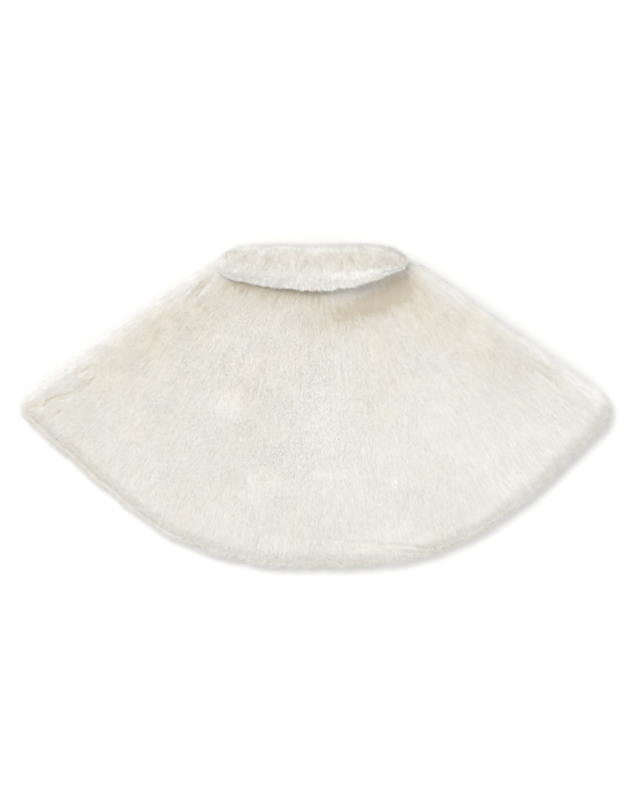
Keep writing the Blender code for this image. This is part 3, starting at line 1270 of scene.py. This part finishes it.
@dataclass(frozen=True)
class PaperFinish:
    """Matt white background paper, coated on one side: even, with no grain to see."""

    name: str = "white_background_paper"
    colour: str = "fdfdfc"
    roughness: float = 0.9
    gloss: float = 0.1

    def material(self) -> bpy.types.Material:
        """Builds the material."""
        values = {"Roughness": self.roughness, "Specular IOR Level": self.gloss}
        return new_material(self.name, self.colour, values)


@dataclass(frozen=True)
class Plush:
    """The finishes of the plush: its pile and its knitted backing."""

    pile: bpy.types.Material
    backing: bpy.types.Material


@dataclass(frozen=True)
class Coat:
    """What every kind of pile on one side of the plush shares."""

    ground: Ground
    comb: Comb
    tone: Tone
    finish: bpy.types.Material

    def grow(self, name: str, pile: Pile, count: int, seed: int, share: Array) -> bpy.types.Object:
        """Grows one piece of pile.

        Args:
            name: The piece's name.
            pile: The locks' sizes.
            count: How many locks.
            seed: Where its chance starts.
            share: How thickly each point of the ground is set.

        Returns:
            The piece.
        """
        rng = np.random.default_rng(seed)
        at = self.ground.scatter(count, rng, share)
        locks = pile.locks(self.ground, at, self.comb, self.tone, rng)
        return mesh_object(name, locks.points, locks.faces, self.finish, locks.normals, locks.chart)


def belong(pieces: Sequence[bpy.types.Object]) -> None:
    """Sets pieces on the cape's body.

    Args:
        pieces: The pieces.
    """
    for piece in pieces:
        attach(piece, BODY)


def edge_spaced(count: int, power: float = 1.7) -> Array:
    """Shares from -1 to 1, closer together towards both ends."""
    even = np.linspace(-1.0, 1.0, count)
    return np.sign(even) * (1.0 - (1.0 - np.abs(even)) ** power)


def hem_spaced(count: int, power: float = 1.9) -> Array:
    """Shares from 0 at the neck to 1 at the hem, closer together towards the hem."""
    return 1.0 - (1.0 - np.linspace(0.0, 1.0, count)) ** power


UNDERCOAT = Pile(
    depth=0.7 * MM,
    proud=0.05 * MM,
    rim_sink=1.2 * MM,
    flare=-1.0 * MM,
    tail=3.5 * MM,
    proud_spread=0.1 * MM,
    tuft_pull=0.15,
    tuft_proud=0.06 * MM,
    tuft_turn_deg=4.0,
    even_shade=0.8,
    round_shade=0.1,
    root_tone=0.45,
)
GUARD = Pile(
    run=7.5 * MM,
    width=0.7 * MM,
    depth=0.4 * MM,
    proud=0.1 * MM,
    arch=0.06 * MM,
    waist=0.45,
    proud_spread=0.08 * MM,
    stray_deg=7.0,
    tuft_proud=0.08 * MM,
    rim_sink=1.0 * MM,
    flare=-0.6 * MM,
    tail=3.5 * MM,
    root_tone=0.5,
    tip_tone=1.0,
)
# the fuzz is pale from root to tip, a painted highlight at the rims
FUZZ = Pile(
    run=3.0 * MM,
    width=0.2 * MM,
    depth=1.5 * MM,
    proud=3.0 * MM,
    proud_spread=1.4 * MM,
    uneven=0.6,
    stray_deg=40.0,
    foot=0.0,
    face_up=1.0,
    even_shade=1.0,
    sky_shade=3.0,
    rim_sink=2.0 * MM,
    flare=-2.0 * MM,
    root_tone=0.9,
    tip_tone=1.0,
)


@dataclass
class BackPanel:
    """The back: the upper layer, fur up, combed from the neck to the hem."""

    cut: Cut
    comb: Comb = Comb(marks=MARKS)
    tone: Tone = Tone(painted_shades=PAINTED_SHADES, streak=0.2, tuft=0.05, lock=0.06)
    undercoat_pieces: tuple[str, ...] = ("left", "middle", "right")
    undercoat_locks: int = 124_000
    guard_pieces: tuple[str, ...] = ("upper", "lower")
    guard_locks: int = 60_000
    fuzz_locks: int = 6_000
    fuzz_rim: tuple[float, float] = (0.5, 0.3)
    fuzz_level: float = 0.93
    hem_fuzz: float = 0.25
    hem_lines: int = 40
    setback: float = 0.0
    setback_start: float = -0.7
    setback_ease: float = 0.5
    fur_setback: float = 4.0 * MM
    fringe: float = 0.012
    scallop: float = 0.0
    fur_scallop: float = 1.2 * MM
    scallop_mm: float = 15.0
    half_hem: float = 360.0 * MM
    hem_extra: float = 1.4
    hem_reach: float = 6.0 * MM
    fold_share: float = 0.995
    # painted shade below the collar's edge, by the share across it: warmer under the left and middle,
    # paler under the right end, which lightens the real shadow of the lifted collar
    collar_painted_shade: tuple[tuple[float, ...], tuple[float, ...]] = (
        (0.0, 0.15, 0.5, 0.7, 0.95, 1.0),
        (0.0, 1.1, 1.0, -0.9, -1.0, 0.0),
    )
    # how far below the collar's edge the painted shade reaches, and how far in from the folds the
    # painted highlight reaches
    painted_shade_reach: float = 10.0 * MM
    painted_light_reach: float = 20.0 * MM
    backing_depth: float = 4.8 * MM
    backing_grid: tuple[int, int] = (91, 61)
    fur_grid: tuple[int, int] = (501, 401)
    inset: float = 0.95
    undercoat_seed: int = SEED
    guard_seed: int = SEED + 5
    fuzz_seed: int = SEED + 9
    scallop_seed: int = SEED + 70

    def outer(self, across: Array, along: Array) -> Array:
        """Lays out the outer side.

        Args:
            across: Shares from fold to fold, -1 to 1.
            along: Shares from neck to hem, 0 to 1.

        Returns:
            A grid of points.
        """
        cut = self.cut
        share, run = np.meshgrid(across, along, indexing="ij")
        setback = self.setback * smooth((share - self.setback_start) / self.setback_ease)
        scallops = Lattice(self.scallop_seed)
        along_hem = (share + 1.0) * self.half_hem
        setback += self.scallop * scallops(along_hem, np.zeros_like(run), self.scallop_mm * MM)
        plan = cut.panel(share, run, 0.0, setback)
        neck = cut.neck_edge(share, 0.0)
        lengths = np.linalg.norm(cut.hem_edge(share, setback) - neck, axis=-1)
        height = rounded(cut.fold_distance(plan), cut.back_round)
        height = height * rounded((1.0 - run) * lengths, cut.back_round)
        base = cut.meeting_height(plan[..., 1]) + cut.seam_gap / 2
        rise = cut.back_wall * np.maximum(height, cut.rim_share) + cut.swell(plan) * height
        return cut.placed(np.concatenate([plan, (base + rise)[..., None]], axis=-1))

    def fur(self, across: Array, along: Array) -> Array:
        """Lays out the outer side as the fur lies, with a scalloped hem and a hollow.

        Args:
            across: Shares from fold to fold, -1 to 1.
            along: Shares from neck to hem, 0 to 1.

        Returns:
            A grid of points.
        """
        lying = replace(
            self, cut=self.cut.loose(), setback=self.fur_setback, scallop=self.fur_scallop
        )
        points = lying.outer(across * self.fold_share, along * (1.0 - self.fringe))
        points[..., 2] += HOLLOW.height(points)
        return points

    def painted_light(self, points: Array) -> Array:
        """Works out the painted light on the fur: painted highlights that pale the folds, and painted
        shade below the collar's edge.

        Args:
            points: Points of the outer side.

        Returns:
            Up to 1 at the folds, less than 0 in the painted shade below the collar, and above 0 under
            its right end, where it lightens the real shadow there.
        """
        plan = points[..., :2] - np.array(self.cut.shift)
        from_fold = self.cut.loose().fold_distance(plan)
        edge = Collar(self.cut).edge()
        below = np.interp(plan[..., 0], edge[:, 0], edge[:, 1]) - plan[..., 1]
        # painted shade, fading with the distance below the collar's edge
        painted_shading = np.exp(-np.maximum(below, 0.0) / self.painted_shade_reach)
        across = (plan[..., 0] - edge[0, 0]) / (edge[-1, 0] - edge[0, 0])
        warmth = np.interp(across, *self.collar_painted_shade)
        # painted highlight at the folds, less the painted shade below the collar
        return 1.0 - smooth(from_fold / self.painted_light_reach) - warmth * painted_shading

    def build(self, plush: Plush) -> tuple[bpy.types.Object, list[bpy.types.Object]]:
        """Builds the backing and the pile.

        Args:
            plush: The finishes.

        Returns:
            The backing, and the pieces of pile.
        """
        lines, steps = self.backing_grid
        sheet = Ground(self.outer(edge_spaced(lines) * self.inset, hem_spaced(steps) * self.inset))
        top = sheet.points - sheet.normals * self.backing_depth
        bottom = top.copy()
        bottom[..., 2] = self.cut.meeting_at(top) + self.cut.seam_gap / 2
        top[..., 2] = np.maximum(top[..., 2], bottom[..., 2] + LEAST_WALL)
        backing = mesh_object("back_backing", *shell(top, bottom), plush.backing)
        lines, steps = self.fur_grid
        points = self.fur(np.linspace(-1, 1, lines), np.linspace(0, 1, steps))
        fine = Ground(points, painted_light=self.painted_light(points)[..., None])
        coat = Coat(fine, self.comb, self.tone, plush.pile)
        thick = 1.0 + self.hem_extra * np.exp(-fine.to_end[..., 0] / self.hem_reach)
        pieces = []
        for seed, word in enumerate(self.undercoat_pieces, self.undercoat_seed):
            name = f"back_undercoat_{word}"
            pieces.append(coat.grow(name, UNDERCOAT, self.undercoat_locks, seed, thick))
        for seed, word in enumerate(self.guard_pieces, self.guard_seed):
            pieces.append(coat.grow(f"back_guard_{word}", GUARD, self.guard_locks, seed, thick))
        level = fine.normals[..., 2]
        rim = bell(level - self.fuzz_rim[0], self.fuzz_rim[1])
        rim[:, -self.hem_lines :] *= self.hem_fuzz
        rim[level > self.fuzz_level] = 0.0
        # the fuzz leaves out the plain warmth and the painted neck shade, so it is paler: a painted
        # highlight at the rims
        pale = replace(coat, tone=replace(self.tone, plain=0.0, neck=0.0))
        pieces.append(pale.grow("back_fuzz", FUZZ, self.fuzz_locks, self.fuzz_seed, rim))
        return backing, pieces

    def dress(self, plush: Plush) -> None:
        """Args:
            plush: The finishes.
        """
        backing, pieces = self.build(plush)
        belong([backing, *pieces])
        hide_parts("back_panel")


@dataclass
class FrontPanel:
    """One front: the lower layer, fur down, flat where it lies on the floor."""

    cut: Cut
    side: Side
    pile: Pile = Pile(
        run=7.0 * MM,
        depth=1.6 * MM,
        proud_spread=0.15 * MM,
        tuft_proud=0.1 * MM,
        rim_sink=0.5 * MM,
        flare=-0.5 * MM,
        sky_shade=0.5,
        root_tone=0.4,
        tip_tone=1.0,
    )
    comb: Comb = Comb(seed=SEED + 7)
    tone: Tone = Tone()
    locks: int = 32_000
    fur_setback: float = 9.0 * MM
    fold_share: float = 0.985
    tuck_in: float = 1.5 * MM
    rim_reach: float = 22.0 * MM
    opening: float = 0.5 * MM
    wrap_start: float = 0.1
    wrap_lines: int = 9
    backing_depth: float = 2.2 * MM
    backing_lines: int = 61
    fur_lines: int = 301
    inset: float = 0.94
    pile_seed: int = SEED + 11

    def outer(self, across: Array, along: Array) -> Array:
        """Lays out the outer, lower side.

        Args:
            across: Shares from the centre front to the fold, 0 to 1.
            along: Shares from neck to hem, 0 to 1.

        Returns:
            A grid of points.
        """
        cut = self.cut
        share, run = np.meshgrid(across * self.side.value, along, indexing="ij")
        plan = cut.panel(share, run, cut.front_neck_drop, cut.front_setback)
        neck = cut.neck_edge(share, cut.front_neck_drop)
        lengths = np.linalg.norm(cut.hem_edge(share, cut.front_setback) - neck, axis=-1)
        from_opening = np.abs(plan[..., 0] - cut.apex_x)
        plan[..., 0] += self.side.value * np.maximum(cut.seam_gap / 2 - from_opening, 0.0)
        height = rounded(cut.fold_distance(plan), cut.back_round)
        height = height * rounded((1.0 - run) * lengths, cut.front_round)
        height = height * rounded(from_opening, cut.opening_round)
        depth = (cut.front_wall - cut.seam_gap / 2) * np.maximum(height, cut.rim_share)
        base = cut.meeting_height(plan[..., 1]) - cut.seam_gap / 2
        return cut.placed(np.concatenate([plan, (base - depth)[..., None]], axis=-1))

    def fur(self) -> Array:
        """Lays out the outer side as the fur lies, and on round the fold to the back's rim.

        Returns:
            A grid of points.
        """
        cut = replace(self.cut.loose(), front_setback=self.fur_setback)
        even = np.linspace(0, 1, self.fur_lines)
        points = replace(self, cut=cut).outer(even * self.fold_share, even)
        rim = BackPanel(self.cut).fur(np.array([float(self.side.value)]), even)
        rim[..., :2] -= self.cut.outwards(self.side.value) * self.tuck_in
        steps = np.linspace(self.wrap_start, 1.0, self.wrap_lines)[:, None, None]
        return np.concatenate([points, points[-1] + (rim - points[-1]) * steps])

    def build(self, plush: Plush) -> tuple[bpy.types.Object, bpy.types.Object]:
        """Builds the backing, and the pile that shows at the hem and the fold.

        Args:
            plush: The finishes.

        Returns:
            The backing and the pile.
        """
        word = self.side.name.lower()
        shares = hem_spaced(self.backing_lines) * self.inset
        sheet = Ground(self.outer(shares, shares), facing=-self.side.value)
        level = np.clip(1.0 + sheet.normals[..., 2:], 0.0, 1.0)
        bottom = sheet.points - sheet.normals * self.backing_depth * level
        top = bottom.copy()
        top[..., 2] = self.cut.meeting_at(top) - self.cut.seam_gap / 2
        bottom[..., 2] = np.clip(bottom[..., 2], 0.0, top[..., 2] - LEAST_WALL)
        # the left front's lines run the other way, so that its shell faces out too
        order = slice(None, None, self.side.value)
        points, faces = shell(top[order], bottom[order])
        backing = mesh_object(f"front_{word}_backing", points, faces, plush.backing)
        fine = Ground(self.fur(), facing=-self.side.value)
        from_fold = np.linalg.norm(fine.points - fine.points[-1], axis=-1)
        from_opening = np.abs(fine.points[..., 0] - self.cut.apex_x - self.cut.shift[0])
        rim = np.minimum(from_fold, fine.to_end[..., 0]) < self.rim_reach
        rim = (rim & (from_opening > self.opening)).astype(float)
        coat = Coat(fine, self.comb, self.tone, plush.pile)
        pile = coat.grow(f"front_{word}_pile", self.pile, self.locks, self.pile_seed, rim)
        return backing, pile

    def dress(self, plush: Plush) -> None:
        """Args:
            plush: The finishes.
        """
        backing, pile = self.build(plush)
        word = self.side.name.lower()
        belong([backing, pile])
        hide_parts(f"front_panel_{word}")


@dataclass
class Collar:
    """The collar: one piece round the neck, standing, rolled over and falling outside."""

    cut: Cut
    undercoat: Pile = replace(
        UNDERCOAT,
        run=6.0 * MM,
        stray_deg=14.0,
        tuft_mm=3.6,
        rim_sink=1.0 * MM,
        flare=-2.4 * MM,
        tail=3.5 * MM,
        painted_gap_shade=0.35,
    )
    lining: Pile = replace(
        UNDERCOAT,
        run=6.0 * MM,
        stray_deg=14.0,
        rim_sink=0.0,
        flare=0.0,
        tail=0.3 * MM,
        face_up=0.0,
        sky_shade=0.1,
    )
    guard: Pile = replace(
        GUARD,
        run=6.0 * MM,
        width=0.55 * MM,
        rim_sink=0.6 * MM,
        flare=-2.2 * MM,
        depth=0.8 * MM,
        proud=0.3 * MM,
        arch=0.35 * MM,
        uneven=0.3,
        proud_spread=0.2 * MM,
        stray_deg=16.0,
        tuft_mm=3.6,
        tuft_stretch=1.6,
        tuft_pull=0.6,
        tuft_proud=0.3 * MM,
        tuft_turn_deg=40.0,
        painted_gap_shade=0.35,
        tail=4.0 * MM,
    )
    comb: Comb = Comb(wave_deg=(10.0, 22.0, 16.0), wave_mm=(40.0, 12.0, 6.0), seed=SEED + 21)
    tone: Tone = Tone(
        plain=-0.02,
        neck=0.42,
        neck_start=108.0 * MM,
        neck_end=144.0 * MM,
        patch=(0.05, 0.1),
        patch_mm=(60.0, 2.4),
        streak=0.24,
        streak_mm=(1.5, 4.5),
        tuft=0.12,
        lock=0.12,
    )
    undercoat_locks: int = 84_000
    guard_locks: int = 42_000
    lining_locks: int = 24_000
    lining_share: float = 0.5
    lining_turn_deg: float = 85.0
    lining_end: float = 0.75
    fuzz_locks: int = 8_000
    fuzz_rim: tuple[float, float] = (0.4, 0.3)
    fuzz_level: float = 0.8
    fuzz_height: float = 12.0 * MM
    # the collar's painted highlight: paler where its outer side turns towards +Y, to the soft box
    painted_light_start: float = -0.1
    painted_light_ease: float = 0.7
    hidden_level: float = -0.3
    low_height: float = 6.0 * MM
    low_share: float = 0.4
    backing: tuple[float, float] = (3.2 * MM, 4.4 * MM)
    backing_grid: tuple[int, int] = (161, 31)
    fur_grid: tuple[int, int] = (601, 121)
    on_back_deg: float = 89.0
    stand_lean: float = 0.15
    least_stand: float = 1.6 * MM
    pinch: tuple[float, float] = (0.3, 0.7)
    leaf_shares: tuple[float, ...] = (0.3, 0.6, 0.8, 0.92)
    leaf_taper: tuple[float, float] = (0.2, 0.75)
    taper_power: int = 4
    lift_gain: float = 2.2
    lift_power: float = 1.3
    nose_steps: int = 6
    seam: float = 0.5 * MM
    undercoat_seed: int = SEED + 31
    guard_seed: int = SEED + 32
    fuzz_seed: int = SEED + 33
    lining_seed: int = SEED + 34

    def rows(self, count: int) -> dict[str, Array]:
        """Reads the table smoothly.

        Args:
            count: At how many places round the neck.

        Returns:
            The table's columns by name.
        """
        knots = [0, *np.cumsum(COLLAR_STEPS)]
        at = np.linspace(0, knots[-1], count)
        columns = zip(CollarRow._fields, zip(*COLLAR_ROWS))
        read = {name: through_rows(at, knots, column) for name, column in columns}
        read["place"] = np.clip(read["place"], -1.0, 1.0)
        read["turn_deg"] = np.clip(read["turn_deg"], -90.0, 90.0)
        return read

    def roll(self, rows: dict[str, Array]) -> tuple[Array, Array]:
        """Cuts across the roll, which stands up from the neck seam and turns over.

        Args:
            rows: The columns of the table.

        Returns:
            Distances down the panel and heights off it, places by points of the roll.
        """
        cut = self.cut
        stand = np.maximum(rows["stand_mm"] * MM, self.least_stand)
        wall = rows["wall_mm"] * MM
        panel_wall = np.where(rows["turn_deg"] > 0, cut.back_wall, cut.front_wall)
        inside, outside = cut.neck_slit - panel_wall, cut.collar_gap + wall
        middle, half = (inside + outside) / 2, (outside - inside) / 2
        nose = np.minimum(stand - self.seam * 2, half)
        angles = math.pi * (np.arange(self.nose_steps + 1) / self.nose_steps - 0.5)
        along = [nose - stand - nose * math.cos(angle) for angle in angles]
        off = [middle + half * math.sin(angle) for angle in angles]
        return np.stack([*along, 0.0 * wall], axis=1), np.stack([*off, outside], axis=1)

    def placed(self, rows: dict[str, Array], along: Array, off: Array) -> Array:
        """Sets sections on the panels' outer points, round the neck.

        Args:
            rows: The columns of the table.
            along: Distances down the panel, places by points of the section.
            off: Heights off the panel, likewise.

        Returns:
            A grid of points.
        """
        cut = self.cut
        turn = np.radians(rows["turn_deg"])[:, None]
        panel_wall = np.where(turn > 0, cut.back_wall, cut.front_wall)
        drop = cut.front_neck_drop * smooth(-rows["turn_deg"] / 90.0)
        start = cut.neck_seam(rows["place"], drop)[:, None]
        place = rows["place"][:, None]
        lean = np.where(along > 0, place, place * self.stand_lean)
        plan = start + cut.down(lean) * along[..., None]
        reach = (cut.back_round + off) * np.cos(turn)
        sign = np.where(place < 0, -1.0, 1.0)
        plan[..., 0] += sign * math.cos(cut.side_angle) * reach
        plan[..., 1] += math.sin(cut.side_angle) * reach
        height = cut.meeting_height(plan[..., 1]) + (panel_wall + off) * np.sin(turn)
        return cut.placed(np.concatenate([plan, height[..., None]], axis=-1))

    def edge(self) -> Array:
        """Lays out the edge of the leaf that is turned down on the back.

        Returns:
            Points in plan, from left to right.
        """
        rows = self.rows(self.fur_grid[0])
        on_back = rows["turn_deg"] > self.on_back_deg
        place, fall = rows["place"][on_back], rows["fall_mm"][on_back] * MM
        points = self.cut.neck_seam(place, 0.0) + self.cut.down(place) * fall[:, None]
        return points[np.argsort(points[:, 0])]

    def outer(self, around: int, across: int) -> Array:
        """Lays out the outer side.

        Args:
            around: How many lines round the neck.
            across: How many points over the roll and down to the edge.

        Returns:
            A grid of points.
        """
        rows = self.rows(around)
        wall, fall = rows["wall_mm"][:, None] * MM, rows["fall_mm"][:, None] * MM
        shares = np.array(self.leaf_shares)
        lift = self.lift_gain * rows["lift_mm"][:, None] * MM * shares**self.lift_power
        slope, end = self.leaf_taper
        taper = 1.0 - slope * shares - end * shares**self.taper_power
        along, off = self.roll(rows)
        along = np.concatenate([along, fall * shares], axis=1)
        off = np.concatenate([off, self.cut.collar_gap + lift + wall * taper], axis=1)
        at_fold = np.cos(np.radians(rows["turn_deg"])) ** 2
        slim = (1.0 - np.where(rows["place"] < 0, *self.pinch) * at_fold)[:, None]
        along, off = np.where(along < 0, along * slim, along), off * slim
        knots = np.arange(along.shape[1], dtype=float)
        at = np.linspace(0, knots[-1], across * 2)
        smooth_along = [through_rows(at, knots, line) for line in along]
        smooth_off = [through_rows(at, knots, line) for line in off]
        rings = self.placed(rows, np.stack(smooth_along), np.stack(smooth_off))
        return np.stack([evenly(ring, across) for ring in rings])

    def build(self, plush: Plush) -> tuple[bpy.types.Object, list[bpy.types.Object]]:
        """Builds the backing and the pile.

        Args:
            plush: The finishes.

        Returns:
            The backing, and the pieces of pile.
        """
        sheet = Ground(self.outer(*self.backing_grid))
        sides = [sheet.points - sheet.normals * depth for depth in self.backing]
        for side in sides:
            side[..., 2] = np.maximum(side[..., 2], 0.0)
        backing = mesh_object("collar_backing", *shell(*sides), plush.backing)
        fine = Ground(self.outer(*self.fur_grid))
        height, level = fine.points[..., 2], fine.normals[..., 2]
        # painted highlight: the collar paler where it faces +Y, towards the soft box
        fine.painted_light = smooth((fine.normals[..., 1:2] - self.painted_light_start) / self.painted_light_ease)
        shown = np.where(fine.normals[..., 1:].max(axis=-1) > self.hidden_level, 1.0, 0.0)
        shown[height < self.low_height] *= self.low_share
        rim = bell(level - self.fuzz_rim[0], self.fuzz_rim[1]) * (height > self.fuzz_height)
        rim[level > self.fuzz_level] = 0.0
        rows = self.rows(self.fur_grid[0])
        on_back = (rows["turn_deg"] > self.lining_turn_deg) & (rows["place"] < self.lining_end)
        leaf = np.linspace(0, 1, self.fur_grid[1]) > self.lining_share
        lined = np.outer(on_back, leaf).astype(float)
        coat = Coat(fine, self.comb, self.tone, plush.pile)
        inner = Ground(fine.points - fine.normals * self.backing[1], facing=-1)
        below = replace(coat, ground=inner)
        # the fuzz leaves out the plain warmth and the painted neck shade, so it is paler: a painted
        # highlight at the rims
        pale = replace(coat, tone=replace(self.tone, plain=0.0, neck=0.0))
        grown = (
            (coat, "undercoat", self.undercoat, self.undercoat_locks, self.undercoat_seed, shown),
            (coat, "guard", self.guard, self.guard_locks, self.guard_seed, shown),
            (below, "lining", self.lining, self.lining_locks, self.lining_seed, lined),
            (pale, "fuzz", FUZZ, self.fuzz_locks, self.fuzz_seed, rim),
        )
        pieces = [on.grow(f"collar_{word}", *kind) for on, word, *kind in grown]
        return backing, pieces

    def dress(self, plush: Plush) -> None:
        """Args:
            plush: The finishes.
        """
        backing, pieces = self.build(plush)
        belong([backing, *pieces])
        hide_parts("collar")


class Lamp(NamedTuple):
    """A square soft box that looks at the cape. place and size are in metres."""

    name: str
    place: tuple[float, float, float]
    size: float
    watts: float


@dataclass
class Studio:
    """The plain studio: white paper, soft light from beyond the collar, a camera overhead."""

    pixel: float = 0.9475 * MM
    frame_px: tuple[int, int] = (640, 812)
    middle_px: tuple[float, float] = (317.5, 407.0)
    sensor_mm: float = 36.0
    camera_height: float = 2.4
    ground_height: float = 0.014
    half_paper: float = 4.0
    paper_drop: float = 0.15 * MM
    surround: float = 0.79
    lamps: tuple[Lamp, ...] = (
        Lamp("soft_box", (-1.5, 1.85, 3.0), 2.4, 76.0),
        Lamp("fill", (0.3, -2.6, 2.2), 2.4, 12.0),
    )

    def floor(self) -> None:
        """Lays the paper, a hair under the cape."""
        half, level = self.half_paper, -self.paper_drop
        turns = ((-1, -1), (1, -1), (1, 1), (-1, 1))
        corners = np.array([[across * half, along * half, level] for across, along in turns])
        paper = mesh_object("floor", corners, np.array([[0, 1, 2, 3]]), PaperFinish().material())

    def camera(self) -> None:
        """Hangs the camera straight over the cape, framed as in the photograph."""
        data = bpy.data.cameras.new("camera")
        data.sensor_width = self.sensor_mm
        reach = self.camera_height - self.ground_height
        data.lens = data.sensor_width * reach / (max(self.frame_px) * self.pixel)
        camera = bpy.data.objects.new("camera", data)
        camera.location = (
            (self.frame_px[0] / 2 - self.middle_px[0]) * self.pixel,
            (self.middle_px[1] - self.frame_px[1] / 2) * self.pixel,
            self.camera_height,
        )
        bpy.context.scene.collection.objects.link(camera)
        bpy.context.scene.camera = camera

    def hang(self, lamp: Lamp) -> None:
        """Hangs a lamp and turns it to the cape.

        Args:
            lamp: The lamp.
        """
        data = bpy.data.lights.new(lamp.name, "AREA")
        data.shape = "SQUARE"
        data.size = lamp.size
        data.energy = lamp.watts
        light = bpy.data.objects.new(lamp.name, data)
        light.location = lamp.place
        aim = -np.array(lamp.place)
        light.rotation_euler = (
            math.acos(-aim[2] / np.linalg.norm(aim)),
            0.0,
            math.atan2(aim[1], aim[0]) - math.pi / 2,
        )
        bpy.context.scene.collection.objects.link(light)

    def light(self) -> None:
        """Sets the light: an even white surround, a soft box at the upper left and a weak fill."""
        world = bpy.data.worlds.new("studio")
        world.use_nodes = True
        background = world.node_tree.nodes["Background"]
        background.inputs["Color"].default_value = (1.0, 1.0, 1.0, 1.0)
        background.inputs["Strength"].default_value = self.surround
        bpy.context.scene.world = world
        for lamp in self.lamps:
            self.hang(lamp)
        bpy.context.scene.view_settings.view_transform = "Standard"

    def build(self) -> None:
        """Sets everything up."""
        self.floor()
        self.camera()
        self.light()


def fitted_cut() -> Cut:
    """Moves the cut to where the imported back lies.

    Returns:
        The cut.
    """
    low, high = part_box("back_panel")
    lines, steps = FIT_GRID
    plain = BackPanel(Cut()).outer(edge_spaced(lines), hem_spaced(steps)).reshape(-1, 3)
    middle = (plain.min(axis=0) + plain.max(axis=0)) / 2
    return Cut(shift=((low[0] + high[0]) / 2 - middle[0], (low[1] + high[1]) / 2 - middle[1]))


def main() -> None:
    """Builds the cape on its frame, piece by piece."""
    logging.basicConfig(level=logging.INFO, format="%(message)s")
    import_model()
    cut = fitted_cut()
    Studio().build()
    plush = Plush(PileFinish().material(), BackingFinish().material())
    for side in Side:
        FrontPanel(cut, side).dress(plush)
    BackPanel(cut).dress(plush)
    Collar(cut).dress(plush)


if __name__ == "__main__":
    main()
